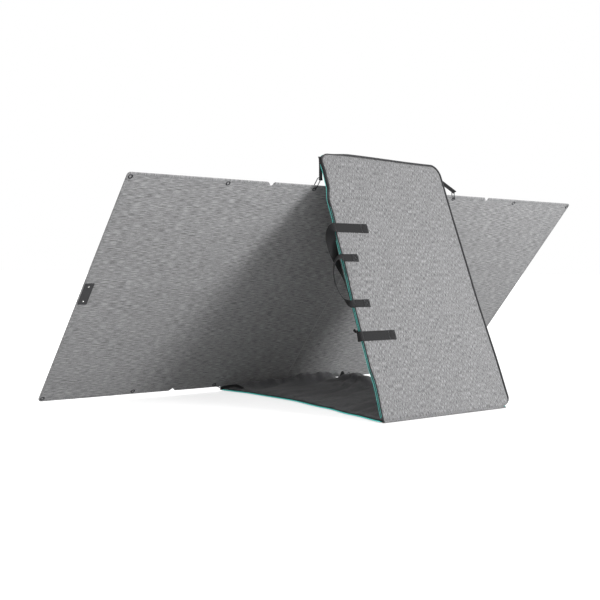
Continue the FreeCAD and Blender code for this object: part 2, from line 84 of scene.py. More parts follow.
FOOT = where("panel_lower")                    # lower back edge of the panel
SPINE = where("rear_flap_open")                # fold of the case
PANEL_UP = np.array(joint["fold_2"]["axis"], float)
PANEL_BACK = np.cross(PANEL_UP, X)             # out of the cloth side
FLAP_UP = np.array(joint["zip_left_slide"]["axis"], float)
FLAP_IN = np.cross(X, FLAP_UP)                 # from the cover to the lining
THICK = SPINE[2]                               # cover, board and lining


def panel_point(u, v, lift=0.0):
    """Along the panel, up it, and out of its cloth back."""
    u, v, lift = np.broadcast_arrays(u, v, lift)
    return (FOOT + u[..., None] * X + v[..., None] * PANEL_UP
            + lift[..., None] * PANEL_BACK)


def flap_point(x, s, depth=0.0):
    """Across the rear flap, up it from the spine, and in from its cover."""
    x, s, depth = np.broadcast_arrays(x, s, depth)
    return (SPINE + x[..., None] * X + s[..., None] * FLAP_UP
            + (depth - THICK)[..., None] * FLAP_IN)


def ground_point(x, s, depth=0.0):
    """Across the ground flap, forwards from the spine, and up from the floor."""
    x, s, depth = np.broadcast_arrays(x, s, depth)
    return (SPINE + x[..., None] * X - s[..., None] * Y
            + (depth - THICK)[..., None] * Z)


def corners_of(node):
    """A CAD node's own points, in the row frame."""
    mesh = frame["nodes"][node].data
    corners = np.empty(len(mesh.vertices) * 3, np.float32)
    mesh.vertices.foreach_get("co", corners)
    return corners.reshape(-1, 3)


def reach(node, origin, direction):
    """How far a CAD node reaches along a direction, lowest and highest."""
    along = (corners_of(node) - origin) @ direction
    return float(along.min()), float(along.max())


PANEL_HEIGHT = reach("section_1_back", FOOT, PANEL_UP)[1]
PANEL_END = reach("section_1_back", FOOT, X)[1]
SHEET = -reach("section_1_front", FOOT, PANEL_BACK)[0]
OUTER_FOLD = where("fold_1")[0]
CASE_RIGHT, CASE_LEFT = reach("rear_cover", SPINE, X)
FLAP_TOP = reach("rear_cover", SPINE, FLAP_UP)[1]
GROUND_TOP = reach("ground_cover", SPINE, -Y)[1]
ZIP_DEPTH = reach("rear_zip_teeth", SPINE, FLAP_IN)[1] + THICK
print("panel", 2 * PANEL_END, "x", PANEL_HEIGHT, "case", CASE_LEFT - CASE_RIGHT, ZIP_DEPTH)

# %% [markdown]
# ## Camera
# The camera stands behind the panel, a little above the middle of the rear
# flap, and looks slightly down.  It comes first, so that every later piece
# can be judged from where it is seen.
# %% Camera
camera_data = bpy.data.cameras.new("camera")
camera_data.lens = 61.57               # millimetres, on a 36 mm wide sensor
camera_data.sensor_width = 36.0
camera = bpy.data.objects.new("camera", camera_data)
scene.collection.objects.link(camera)
CAMERA_AT = (2.8721, 3.0790, 0.5581)
CAMERA_HEADING = math.pi - 0.6885      # from straight along +Y, about +Z
CAMERA_DOWN = 0.0376
CAMERA_ROLL = 0.0112
camera.location = CAMERA_AT
camera.rotation_mode = "XYZ"
camera.rotation_euler = (math.pi / 2 - CAMERA_DOWN, 0.0, CAMERA_HEADING)
camera.rotation_euler.rotate_axis("Z", CAMERA_ROLL)
scene.camera = camera

# %% [markdown]
# ## Light
# One broad lamp, low and far to the right, gives the cloth its grain and lets
# the flap throw its soft shadow across the panel, and an even white sky fills
# the rest.  The floor follows once there are materials to make it from.
# %% Sky and key lamp
scene.view_settings.view_transform = "Standard"


def linear(code):
    """An sRGB hex colour as linear red, green, blue and alpha."""
    channel = np.array([int(code[i:i + 2], 16) for i in (1, 3, 5)]) / 255
    low, high = channel / 12.92, ((channel + 0.055) / 1.055) ** 2.4
    return (*np.where(channel <= 0.04045, low, high), 1.0)


def add(tree, kind, settings=(), **links):
    """Adds a node.  Settings are attributes or input values, links are sockets
    to join to its inputs; an underscore in an input's name is a space."""
    node = tree.nodes.new(kind)
    for key, value in dict(settings).items():
        if isinstance(key, str) and hasattr(node, key):
            setattr(node, key, value)
        else:
            node.inputs[key].default_value = value
    for key, source in links.items():
        name = key.replace("_", " ")
        slot = int(name[1:]) if name[0] == "i" and name[1:].isdigit() else name
        tree.links.new(source, node.inputs[slot])
    return node


world = bpy.data.worlds.new("studio")
scene.world = world
world.use_nodes = True
sky = world.node_tree.nodes["Background"]
sky.inputs["Color"].default_value = linear("#ffffff")
sky.inputs["Strength"].default_value = 1.0


def area_lamp(name, start, goal, size, power):
    """A square lamp at start that shines towards goal."""
    data = bpy.data.lights.new(name, "AREA")
    data.size = size
    data.energy = power
    lamp = bpy.data.objects.new(name, data)
    scene.collection.objects.link(lamp)
    way = np.subtract(goal, start)
    flat = math.hypot(way[0], way[1])
    lamp.location = start
    lamp.rotation_euler = (math.atan2(flat, -way[2]), 0.0,
                           math.atan2(way[1], way[0]) - math.pi / 2)
    return lamp


key_lamp = area_lamp("key_lamp", (-0.67, 3.4, 1.2), (0.25, 0.0, 0.45), 0.95, 100.0)
key_lamp.visible_camera = False
print("camera and", len(bpy.data.lights), "lamps")

# %% [markdown]
# ## From a formula to a mesh
# Every new piece is a grid of points worked out by a formula.  One function
# joins the points into faces and keeps each point's place on the flat cloth
# as a UV map, in metres, so that threads run the way they are woven.
# %% Grids and surfaces
def grid_faces(rows, columns, around=False, over=False):
    """Four-sided faces of a grid of points: around joins the last column to
    the first, and over the last row to the first."""
    r = np.arange(rows if over else rows - 1)[:, None]
    c = np.arange(columns if around else columns - 1)[None, :]
    steps = ((0, 0), (0, 1), (1, 1), (1, 0))
    faces = [(r + i) % rows * columns + (c + j) % columns for i, j in steps]
    return np.stack(faces, -1).reshape(-1, 4)


def smooth_piece(name, points, faces):
    """An object from points and faces, shaded smooth."""
    mesh = bpy.data.meshes.new(name)
    mesh.from_pydata(points.reshape(-1, 3).tolist(), [], faces.tolist())
    mesh.polygons.foreach_set("use_smooth", np.ones(len(mesh.polygons), bool))
    piece = bpy.data.objects.new(name, mesh)
    scene.collection.objects.link(piece)
    return piece


def surface(name, points, cloth=None, closed=False, thickness=0.0):
    """A piece from a grid of points (rows, columns, 3): neighbours in the grid
    are corners of one four-sided face.  cloth holds two numbers for each
    point, its place on the flat cloth.  closed joins the last column to the
    first, and thickness grows the sheet behind its face."""
    points = np.asarray(points, float)
    rows, columns = points.shape[:2]
    if cloth is None:
        along = np.linalg.norm(np.diff(points, axis=0), axis=2).mean(1)
        around = np.linalg.norm(np.diff(points, axis=1), axis=2).mean(0)
        if closed:
            last = np.linalg.norm(points[:, 0] - points[:, -1], axis=1).mean()
            around = np.append(around, last)
        cloth = np.stack(np.meshgrid(np.append(0, np.cumsum(around)),
                                     np.append(0, np.cumsum(along))), -1)
    piece = smooth_piece(name, points, grid_faces(rows, columns, closed))
    places = grid_faces(rows, cloth.shape[1]).reshape(-1)
    piece.data.uv_layers.new(name="cloth").data.foreach_set(
        "uv", cloth.reshape(-1, 2)[places].astype(np.float32).reshape(-1))
    if thickness:
        grow = piece.modifiers.new("cloth thickness", "SOLIDIFY")
        grow.thickness = thickness
        grow.offset = -1.0
    return piece


def capped(points):
    """The grid with one more row at each end, drawn together to its middle."""
    first, last = (np.broadcast_to(row.mean(0), row.shape) for row in points[[0, -1]])
    return np.concatenate([first[None], points, last[None]])


print("grids ready")

# %% [markdown]
# Paths carry the trims: a path can be divided evenly, given two directions
# across itself, and set with copies of one small shape, such as a stitch.
# %% Paths and copies
def unit(vectors):
    """Vectors scaled to length one."""
    return vectors / np.maximum(np.linalg.norm(vectors, axis=-1, keepdims=True), 1e-12)


def gone_along(path):
    """How far along the path each of its points lies."""
    return np.append(0, np.cumsum(np.linalg.norm(np.diff(path, axis=0), axis=1)))


def between(marks, known, values):
    """Rows of three numbers at the marks, from those at the known places."""
    return np.stack([np.interp(marks, known, values[:, k]) for k in range(3)], 1)


def evenly(path, step):
    """The same path with points about one step apart along it."""
    path = np.asarray(path, float)
    gone = gone_along(path)
    marks = np.linspace(0, gone[-1], max(2, int(round(gone[-1] / step)) + 1))
    return between(marks, gone, path)


def frames(path, out):
    """Two directions across a path: out, made square to it, and the side."""
    ahead = unit(np.gradient(path, axis=0))
    out = np.broadcast_to(out, path.shape)
    out = unit(out - (out * ahead).sum(-1, keepdims=True) * ahead)
    return out, np.cross(ahead, out)


def full_turn(count):
    """Angles spaced evenly round a full turn."""
    return np.arange(count) * 2 * math.pi / count


def ring(radius, count):
    """Points of a circle."""
    turn = full_turn(count)
    return np.stack([radius * np.cos(turn), radius * np.sin(turn)], 1)


def copies(name, shape, faces, centres, ahead, out):
    """One small shape set at many places.  Its first number runs along ahead,
    its second out, and its third to the side."""
    ahead = unit(np.broadcast_to(ahead, centres.shape))
    out = np.broadcast_to(out, centres.shape)
    out = unit(out - (out * ahead).sum(-1, keepdims=True) * ahead)
    axes = np.stack([ahead, out, np.cross(ahead, out)], 1)
    points = centres[:, None] + np.einsum("pk,ckx->cpx", shape, axes)
    step = np.arange(len(centres))[:, None, None] * len(shape)
    return smooth_piece(name, points, (faces[None] + step).reshape(-1, faces.shape[1]))


def bead(length, width, height, sides=6):
    """A closed little capsule: rings of sides points that shrink to its ends."""
    along = np.array([-0.5, -0.36, 0.36, 0.5]) * length
    size = np.array([0.35, 1.0, 1.0, 0.35])
    turn = full_turn(sides)
    points = np.stack([np.repeat(along, sides),
                       (size[:, None] * np.cos(turn) * height / 2).reshape(-1),
                       (size[:, None] * np.sin(turn) * width / 2).reshape(-1)], 1)
    wall = grid_faces(len(along), sides, around=True)
    c = np.arange(0, sides - 2, 2)
    zero = np.zeros_like(c)
    cap = np.stack([zero, (c + 3) % sides, c + 2, c + 1], -1)
    far = np.stack([zero, c + 1, c + 2, (c + 3) % sides], -1) + 3 * sides
    return points, np.concatenate([wall, cap, far])[:, ::-1]


def stitches(name, path, out, pitch=4.0 * MM, length=2.9 * MM, width=0.75 * MM):
    """A row of stitches along a path, lying on the cloth."""
    places = evenly(path, pitch)
    middle = (places[1:] + places[:-1]) / 2
    out = np.broadcast_to(out, path.shape)
    facing = between(np.linspace(0, 1, len(middle)), np.linspace(0, 1, len(path)), out)
    shape, faces = bead(length, width, width)
    return copies(name, shape, faces, middle, np.diff(places, axis=0), facing)


def smooth_between(t, knots):
    """A smooth curve through a few (place, value) pairs."""
    at, value = np.array(knots, float).T
    t = np.clip(t, at[0], at[-1])
    k = np.clip(np.searchsorted(at, t) - 1, 0, len(at) - 2)
    f = (t - at[k]) / (at[k + 1] - at[k])
    return value[k] + (value[k + 1] - value[k]) * f * f * (3 - 2 * f)


def ripples(a, b, wave, height, seed, lean=(1.0, 1.0), count=7):
    """Soft unevenness: a sum of a few waves in random directions.  wave is
    about their length in metres, and lean makes them longer one way."""
    dice = np.random.default_rng(seed)
    total = np.zeros(np.broadcast(a, b).shape)
    for _ in range(count):
        turn, phase, size = dice.uniform(0, 2 * math.pi, 3)
        pace = 2 * math.pi / (wave * (0.7 + 0.1 * size))
        total += np.sin(pace * (a * math.cos(turn) / lean[0]
                                + b * math.sin(turn) / lean[1]) + phase)
    return total * height / math.sqrt(count)


def spread(low, high, count):
    """Places from low to high, much closer together near both ends."""
    return low + (high - low) * (0.5 - 0.5 * np.cos(np.linspace(0, math.pi, count)))


print("paths ready")

# %% [markdown]
# ## What the materials share
# A material is one Principled shader with plain numbers on it.  Its pattern is
# noise or bands at a real scale in millimetres, on the cloth's own places or
# the piece's own points, so that it stays put when the piece moves.
# %% Material helpers
def material(name, base, roughness, **settings):
    """A new material whose shader holds the plain numbers."""
    made = bpy.data.materials.new(name)
    made.use_nodes = True
    tree = made.node_tree
    shader = tree.nodes["Principled BSDF"]
    shader.inputs["Base Color"].default_value = linear(base)
    shader.inputs["Roughness"].default_value = roughness
    for key, value in settings.items():
        shader.inputs[key.replace("_", " ")].default_value = value
    return made, tree, shader


def streaks(tree, place, length, width, detail=3.0):
    """Noise drawn out along the cloth's second direction."""
    scale = add(tree, "ShaderNodeMapping",
                {"Scale": (1 / width, 1 / length, 1)}, Vector=place)
    return add(tree, "ShaderNodeTexNoise",
               {"Scale": 1.0, "Detail": detail, "Roughness": 0.6},
               Vector=scale.outputs["Vector"]).outputs["Fac"]


def ramp(tree, source, stops):
    """A colour for each value: stops are (value, colour code)."""
    node = add(tree, "ShaderNodeValToRGB", Fac=source)
    band = node.color_ramp
    while len(band.elements) < len(stops):
        band.elements.new(0.5)
    for element, (value, code) in zip(band.elements, stops):
        element.position = value
        element.color = linear(code)
    return node.outputs["Color"]


def blend_colour(tree, amount, first, second, kind="MIX"):
    """Mixes two colours; either may be a socket or a colour code."""
    node = add(tree, "ShaderNodeMix", {"data_type": "RGBA", "blend_type": kind})
    for socket, value in ((0, amount), (6, first), (7, second)):
        if isinstance(value, str):
            node.inputs[socket].default_value = linear(value)
        elif isinstance(value, (int, float)):
            node.inputs[socket].default_value = value
        else:
            tree.links.new(value, node.inputs[socket])
    return node.outputs[2]


BANDS = 0.314                          # bands repeat at this many metres at scale one


def weave_height(tree, place, pitch):
    """Crossing threads: two sets of waves, one each way."""
    heights = []
    for way in ("X", "Y"):
        heights.append(add(tree, "ShaderNodeTexWave",
                           {"wave_type": "BANDS", "bands_direction": way,
                            "Scale": BANDS / pitch, "Distortion": 0.6, "Detail": 1.0,
                            "Detail Scale": 0.5},
                           Vector=place).outputs["Fac"])
    return add(tree, "ShaderNodeMath", {"operation": "ADD"},
               i0=heights[0], i1=heights[1]).outputs["Value"]


def bump(tree, shader, height, distance):
    """Raises the surface's shading by a height of that many metres."""
    node = add(tree, "ShaderNodeBump", {"Strength": 1.0, "Distance": distance},
               Height=height)
    tree.links.new(node.outputs["Normal"], shader.inputs["Normal"])


print("material helpers ready")

# %% [markdown]
# ## Cloth: grey melange polyester
# The case and the back of the panel are one woven polyester of mixed light
# and dark yarns.  Each yarn shows as a short streak along its own run, so
# the pattern is noise stretched along the weave: streaks one or two
# millimetres wide and some centimetres long, longer on the panel than on the
# case, with a finer layer mixed in.  A low sheen gives the eye the soft, dry
# bloom of napped cloth, and high roughness keeps it from shining.
# %% Melange cloth
def melange(name, dark, middle, light, length, width, turned=False):
    """Polyester of mixed yarns; turned runs the streaks the other way."""
    made, tree, shader = material(name, middle, 0.88, Sheen_Weight=0.25,
                                  Sheen_Roughness=0.5, Specular_IOR_Level=0.3)
    place = add(tree, "ShaderNodeUVMap", {"uv_map": "cloth"}).outputs["UV"]
    if turned:
        place = add(tree, "ShaderNodeMapping", {"Rotation": (0, 0, math.pi / 2)},
                    Vector=place).outputs["Vector"]
    coarse = streaks(tree, place, length, width, 1.0)
    fine = streaks(tree, place, length / 5, width / 2, 1.0)
    cloudy = streaks(tree, place, 160 * MM, 70 * MM, 2.0)
    both = add(tree, "ShaderNodeMix", {"data_type": "FLOAT", 0: 0.3},
               i2=coarse, i3=fine).outputs[0]
    yarn = ramp(tree, both, ((0.41, dark), (0.5, middle), (0.59, light)))
    patch = ramp(tree, cloudy, ((0.3, "#f2f2f2"), (0.7, "#ffffff")))
    colour = blend_colour(tree, 1.0, yarn, patch, "MULTIPLY")
    tree.links.new(colour, shader.inputs["Base Color"])
    bump(tree, shader, weave_height(tree, place, 1.3 * MM), 0.22 * MM)
    return made


panel_cloth = melange("woven_melange_polyester_panel", "#707071", "#8e8e8f", "#acacad",
                      34 * MM, 1.9 * MM, turned=True)
case_cloth = melange("woven_melange_polyester_case", "#4f4f50", "#767677", "#a1a1a2",
                     14 * MM, 1.5 * MM)
# a lighter copy of the panel cloth, used for the painted highlight along the middle crease
crease_highlight_cloth = melange("woven_melange_polyester_rubbed", "#9a9a9b", "#b4b4b5", "#cbcbcc",
                     42 * MM, 2.5 * MM, turned=True)
print("melange cloths made")

# %% [markdown]
# ## Cloth: lining, tapes and binding
# The lining is thin dark nylon.  The zip's tape and the binding over the
# piping are nearly black, and the cords beside the zip are a bright teal
# with a painted glow, so that they stay bright in shade.
# %% Plain cloths
def plain_weave(name, dark, light, pitch, roughness=0.85):
    """Closely woven single-colour cloth: a little lighter on its threads."""
    made, tree, shader = material(name, light, roughness, Sheen_Weight=0.3,
                                  Sheen_Roughness=0.45, Specular_IOR_Level=0.35)
    place = add(tree, "ShaderNodeUVMap", {"uv_map": "cloth"}).outputs["UV"]
    tone = streaks(tree, place, 12 * pitch, 3 * pitch)
    tree.links.new(ramp(tree, tone, ((0.3, dark), (0.7, light))), shader.inputs["Base Color"])
    bump(tree, shader, weave_height(tree, place, pitch), pitch * 0.2)
    return made


lining_cloth = plain_weave("plain_weave_nylon_lining", "#3a3a3c", "#4f4f52", 1.1 * MM)
tape_cloth = plain_weave("woven_zip_tape", "#1e1e20", "#2b2b2d", 1.5 * MM)
teal_tape = plain_weave("woven_teal_tape", "#5fdcd2", "#86eee4", 1.5 * MM, 0.7)


def add_painted_glow(paint, glow):
    """Adds a painted glow to teal: a little light of its own colour, so that it stays bright in
    shade.
    """
    shader = paint.node_tree.nodes["Principled BSDF"]
    shader.inputs["Emission Color"].default_value = linear("#2fd6cc")
    shader.inputs["Emission Strength"].default_value = glow


# painted glow on the teal cords, so they stay bright in the flap's shade
add_painted_glow(teal_tape, 0.16)
binding_cloth = plain_weave("grosgrain_binding", "#252527", "#323234", 1.6 * MM)
print("plain cloths made")

# %% [markdown]
# ## Webbing
# Nylon webbing has ribs across it and a chevron twill along it, which catch
# the light one by one.  Little sheen keeps it black from every side.
# %% Webbing
def webbing_material(name, dark, light):
    """Ribbed nylon webbing: ribs across the strap, a chevron twill along it."""
    made, tree, shader = material(name, dark, 0.75, Sheen_Weight=0.08,
                                  Sheen_Roughness=0.35, Specular_IOR_Level=0.22)
    place = add(tree, "ShaderNodeUVMap", {"uv_map": "cloth"}).outputs["UV"]
    ribs = add(tree, "ShaderNodeTexWave",
               {"wave_type": "BANDS", "bands_direction": "Y", "Scale": BANDS / (1.9 * MM),
                "Distortion": 0.4, "Detail": 1.0}, Vector=place).outputs["Fac"]
    twill = add(tree, "ShaderNodeTexWave",
                {"wave_type": "BANDS", "bands_direction": "DIAGONAL",
                 "Scale": BANDS / (3.4 * MM), "Distortion": 0.3}, Vector=place).outputs["Fac"]
    height = add(tree, "ShaderNodeMix", {"data_type": "FLOAT", 0: 0.4},
                 i2=ribs, i3=twill).outputs[0]
    tree.links.new(ramp(tree, height, ((0.15, dark), (0.85, light))),
                   shader.inputs["Base Color"])
    bump(tree, shader, height, 0.4 * MM)
    return made


webbing = webbing_material("ribbed_nylon_webbing", "#161617", "#29292a")
print("cloth materials", len(bpy.data.materials))

# %% [markdown]
# ## Metal, plastic and glass
# Eyelets and snap hooks are plated steel: dark, with soft highlights.  The
# rivets are plain nickel, smooth enough to show as small bright points.  Zip
# teeth are moulded nylon, and the junction box is moulded ABS with the fine
# eroded grain that hides scratches and dulls its shine.
# %% Metals and plastics
def here(tree):
    """A point of the piece itself, in metres."""
    return add(tree, "ShaderNodeTexCoord").outputs["Object"]


def metal(name, colour, roughness, wear):
    """Plated metal: roughness varies a little, as handling leaves it."""
    made, tree, shader = material(name, colour, roughness, Metallic=1.0)
    cloud = add(tree, "ShaderNodeTexNoise", {"Scale": 220.0, "Detail": 3.0},
                Vector=here(tree)).outputs["Fac"]
    rough = add(tree, "ShaderNodeMapRange",
                {"To Min": roughness - wear, "To Max": roughness + wear}, Value=cloud)
    tree.links.new(rough.outputs["Result"], shader.inputs["Roughness"])
    bump(tree, shader, cloud, 0.03 * MM)
    return made


def grained(name, dark, light, roughness, grain):
    """Moulded plastic with an eroded grain of that size."""
    made, tree, shader = material(name, light, roughness)
    speck = add(tree, "ShaderNodeTexNoise", {"Scale": 1 / grain, "Detail": 2.0},
                Vector=here(tree)).outputs["Fac"]
    tree.links.new(ramp(tree, speck, ((0.35, dark), (0.65, light))),
                   shader.inputs["Base Color"])
    bump(tree, shader, speck, 0.06 * MM)
    return made


gunmetal = metal("gunmetal_plated_steel", "#4a4a4e", 0.36, 0.08)
nickel = metal("nickel_plated_rivet", "#d6d6d4", 0.25, 0.06)
abs_plastic = grained("moulded_abs_dark", "#232325", "#2f2f32", 0.5, 0.8 * MM)
nylon_teeth = grained("moulded_nylon_teal", "#4fd8ce", "#6fe8de", 0.42, 0.9 * MM)
# painted glow on the teal zip teeth as well
add_painted_glow(nylon_teeth, 0.22)
patch_plate = grained("moulded_tpu_patch", "#333335", "#414143", 0.62, 0.7 * MM)
thread = grained("bonded_nylon_thread", "#48484b", "#5c5c60", 0.6, 0.5 * MM)
seam_thread = grained("bonded_nylon_thread_grey", "#6e6e70", "#868688", 0.6, 0.5 * MM)

# %% [markdown]
# ### Silicon and its film
# A cell shows almost black, with a blue cast where light grazes it, thin
# silver busbars up its length and hair-fine fingers across.  Fingers are
# really 1.5 mm apart; they stay at that scale and only show close by.
# %% Cell and front film
def lines(tree, place, axis, pitch, width):
    """One where a thin line runs, every pitch metres along an axis."""
    split = add(tree, "ShaderNodeSeparateXYZ", Vector=place)
    turns = add(tree, "ShaderNodeMath", {"operation": "MULTIPLY", 1: 1 / pitch},
                i0=split.outputs[axis]).outputs["Value"]
    phase = add(tree, "ShaderNodeMath", {"operation": "FRACT"}, i0=turns).outputs["Value"]
    off = add(tree, "ShaderNodeMath", {"operation": "SUBTRACT", 1: 0.5},
              i0=phase).outputs["Value"]
    size = add(tree, "ShaderNodeMath", {"operation": "ABSOLUTE"}, i0=off).outputs["Value"]
    return add(tree, "ShaderNodeMath", {"operation": "LESS_THAN", 1: width / pitch / 2},
               i0=size).outputs["Value"]


cell_face, tree, shader = material("monocrystalline_silicon", "#0a0e18", 0.35,
                                   Coat_Weight=0.2, Coat_Roughness=0.2,
                                   Specular_IOR_Level=0.3)
place = add(tree, "ShaderNodeUVMap", {"uv_map": "cloth"}).outputs["UV"]
tint = ramp(tree, add(tree, "ShaderNodeTexNoise", {"Scale": 14.0}, Vector=place
                      ).outputs["Fac"], ((0.3, "#070a12"), (0.7, "#0d1524")))
fingers = lines(tree, place, 1, 1.5 * MM, 0.16 * MM)
bars = lines(tree, place, 0, 178 * MM / 5, 1.3 * MM)
tinted = blend_colour(tree, fingers, tint, "#222833")
tree.links.new(blend_colour(tree, bars, tinted, "#70757c"), shader.inputs["Base Color"])

front_film, tree, shader = material("dimpled_clear_film_over_black", "#26272b", 0.4,
                                    Coat_Weight=0.15, Coat_Roughness=0.25,
                                    Specular_IOR_Level=0.3)
dimples = add(tree, "ShaderNodeTexVoronoi", {"Scale": 1 / (2.2 * MM)},
              Vector=here(tree)).outputs["Distance"]
tree.links.new(ramp(tree, dimples, ((0.0, "#232428"), (0.7, "#303136"))),
               shader.inputs["Base Color"])
bump(tree, shader, dimples, 0.08 * MM)
print("materials", len(bpy.data.materials))

floor_paint, tree, shader = material("matt_paper_floor", "#cacaca", 0.95)
fibre = add(tree, "ShaderNodeTexNoise", {"Scale": 60.0, "Detail": 4.0},
            Vector=here(tree)).outputs["Fac"]
tree.links.new(ramp(tree, fibre, ((0.3, "#c8c8c8"), (0.7, "#cccccc"))),
               shader.inputs["Base Color"])
shader.inputs["Emission Color"].default_value = linear("#ffffff")
seen = add(tree, "ShaderNodeLightPath").outputs["Is Camera Ray"]
glow = add(tree, "ShaderNodeMapRange", {"To Min": 0.0, "To Max": 0.7}, Value=seen)
tree.links.new(glow.outputs["Result"], shader.inputs["Emission Strength"])
FLOOR_HALF = 40.0
FLOOR_LEVEL = -1.5 * MM                # just clear of the case's lowest cloth
side = np.linspace(-FLOOR_HALF, FLOOR_HALF, 5)
floor = surface("floor", np.stack(np.broadcast_arrays(
    side[None, :], side[:, None], FLOOR_LEVEL), -1))
floor.data.materials.append(floor_paint)


def finish(piece, paint, body, stands_for=()):
    """Gives a piece its material and the body it moves with, and hides the plain CAD nodes that
    it stands for."""
    piece.data.materials.append(paint)
    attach(piece, body)
    if stands_for:
        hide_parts(*stands_for)
    return piece


def cut_from(piece):
    """Reads the piece's places on the flat cloth, four to a face, and returns the piece
    unchanged."""
    layer = piece.data.uv_layers["cloth"].data
    places = np.empty(len(layer) * 2, np.float32)
    layer.foreach_get("uv", places)
    places = places.reshape(-1, 4, 2).astype(float)
    return piece


print("floor laid, materials", len(bpy.data.materials))

# %% [markdown]
# # The panel
# ## Cloth backs
# Each section is a stiff laminate.  Its grey cloth back is one sheet cut to
# the section's outline: rounded at the panel's ends, with a small notch at
# each end of the two outer folds.  The sheet is a grid from one fold to the
# next and from the lower edge to the upper; the edges stand back by the
# notch and the corner, both plain functions of the place along the panel.
# %% Section backs and hinge cloth
NOTCH_HALF = 15 * MM                   # half the width of a notch at the edge
NOTCH_DEPTH = 14 * MM
CORNER = 12 * MM                       # radius of the panel's four corners
SKIN = 1.2 * MM                        # thickness of the woven back


def set_back(u):
    """How far the long edges stand back from straight, at u."""
    off = np.abs(np.abs(u) - OUTER_FOLD)
    notch = NOTCH_DEPTH * np.maximum(0, 1 - off / NOTCH_HALF)
    over = np.clip(np.abs(u) - (PANEL_END - CORNER), 0, CORNER)
    return notch + CORNER - np.sqrt(CORNER ** 2 - over ** 2)


def swell(u, v):
    """The cloth's height over the flat laminate: long soft waves, and small
    puckers that fade within a few centimetres of the hems."""
    soft = ripples(u, v, 0.34, 0.35 * MM, 11) + ripples(u, v, 0.12, 0.16 * MM, 12)
    near = np.exp(-np.minimum(v, PANEL_HEIGHT - v) / (25 * MM))
    return soft + near * ripples(u, v, 0.045, 0.22 * MM, 13)


def back_cloth(name, u, rows=84, lift=0.0):
    """The back of the panel over the given places u, from hem to hem."""
    u = np.asarray(u)[None, :]
    t = np.linspace(0, 1, rows)[:, None]
    edge = set_back(u)
    v = edge + (PANEL_HEIGHT - 2 * edge) * t
    u = np.broadcast_to(u, v.shape)
    points = panel_point(u, v, swell(u, v) + lift)
    return surface(name, points, np.stack([u, v], -1), thickness=SKIN)


for number in (1, 2, 3, 4):
    low, high = reach(f"section_{number}_back", FOOT, X)
    skin = back_cloth(f"section_back_cloth_{number}", spread(high, low, 78))
    finish(skin, panel_cloth, f"section_{number}",
           (f"section_{number}_back",))
    cut_from(skin)

# %% [markdown]
# The hinges are the same cloth running across the gaps between sections, so
# each is a narrow strip of the same surface that runs from one section to
# its neighbour.  A pressed crease runs up the middle one, with a painted
# highlight along its top: a paler strip of the same cloth.
# %% Hinge cloth
FOLD_PAIRS = {1: ("section_2", "section_1"), 2: ("section_2", "section_3"),
              3: ("section_3", "section_4")}
for number, (first, second) in FOLD_PAIRS.items():
    low = reach(f"{first}_back", FOOT, X)
    high = reach(f"{second}_back", FOOT, X)
    gap = (low[1], high[0]) if low[1] < high[0] else (low[0], high[1])
    middle, half = sum(gap) / 2, (gap[1] - gap[0]) / 2
    u = np.sort(middle - half * np.linspace(-1, 1, 25))[::-1]
    crease = (0.9 * MM if number == 2 else 0.15 * MM) * np.exp(
        -((u - middle) / (1.6 * MM)) ** 2)
    strip = back_cloth(f"hinge_cloth_{number}", u, lift=crease[None, :] - 0.1 * MM)
    strip.data.materials.append(panel_cloth)
    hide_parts(f"fold_strip_{number}")
    ends = tuple(panel_point(gap[0], 0.5)), tuple(panel_point(gap[1], 0.5))
    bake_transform(strip)
    cut_from(strip)
    if number == 2:
        # painted highlight: a paler strip of cloth along the crease's ridge
        highlight_strip = back_cloth("worn_crease", middle + np.linspace(1.3, -1.3, 5) * MM,
                          lift=crease.max() - 0.2 * MM)
        highlight_strip.data.materials.append(crease_highlight_cloth)
        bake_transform(highlight_strip)
print("cloth backs and hinges made")

# %% [markdown]
# ## Hems
# The laminate's open edges are bound with the same cloth, folded round from
# back to front and pressed flat.  A flat U is carried along the outline: its
# step, nine millimetres in, is the fine line that runs just inside the edge.
# %% Bound edges
HEM_WIDTH = 9 * MM
HEM_LIFT = 0.45 * MM


def tube(name, path, out, profile, size=None):
    """A closed profile carried along a path, closed at both ends.  size may
    scale it at each point of the path."""
    outward, side = frames(path, out)
    profile = np.asarray(profile, float)
    if size is not None:
        outward, side = outward * size[:, None], side * size[:, None]
    points = (path[:, None] + profile[None, :, :1] * outward[:, None]
              + profile[None, :, 1:] * side[:, None])
    return surface(name, capped(points), closed=True)


HEM_PROFILE = [(-HEM_WIDTH, -0.4 * MM), (-HEM_WIDTH, 0.25 * MM),
               (-HEM_WIDTH + 0.4 * MM, HEM_LIFT), (-1.2 * MM, HEM_LIFT),
               (0.1 * MM, 0.1 * MM), (0.6 * MM, -1.2 * MM),
               (0.6 * MM, -SHEET + 1.2 * MM), (0.1 * MM, -SHEET - 0.1 * MM),
               (-1.2 * MM, -SHEET - HEM_LIFT), (-HEM_WIDTH + 0.4 * MM, -SHEET - HEM_LIFT),
               (-HEM_WIDTH, -SHEET - 0.25 * MM), (-HEM_WIDTH, -SHEET + 0.4 * MM)]


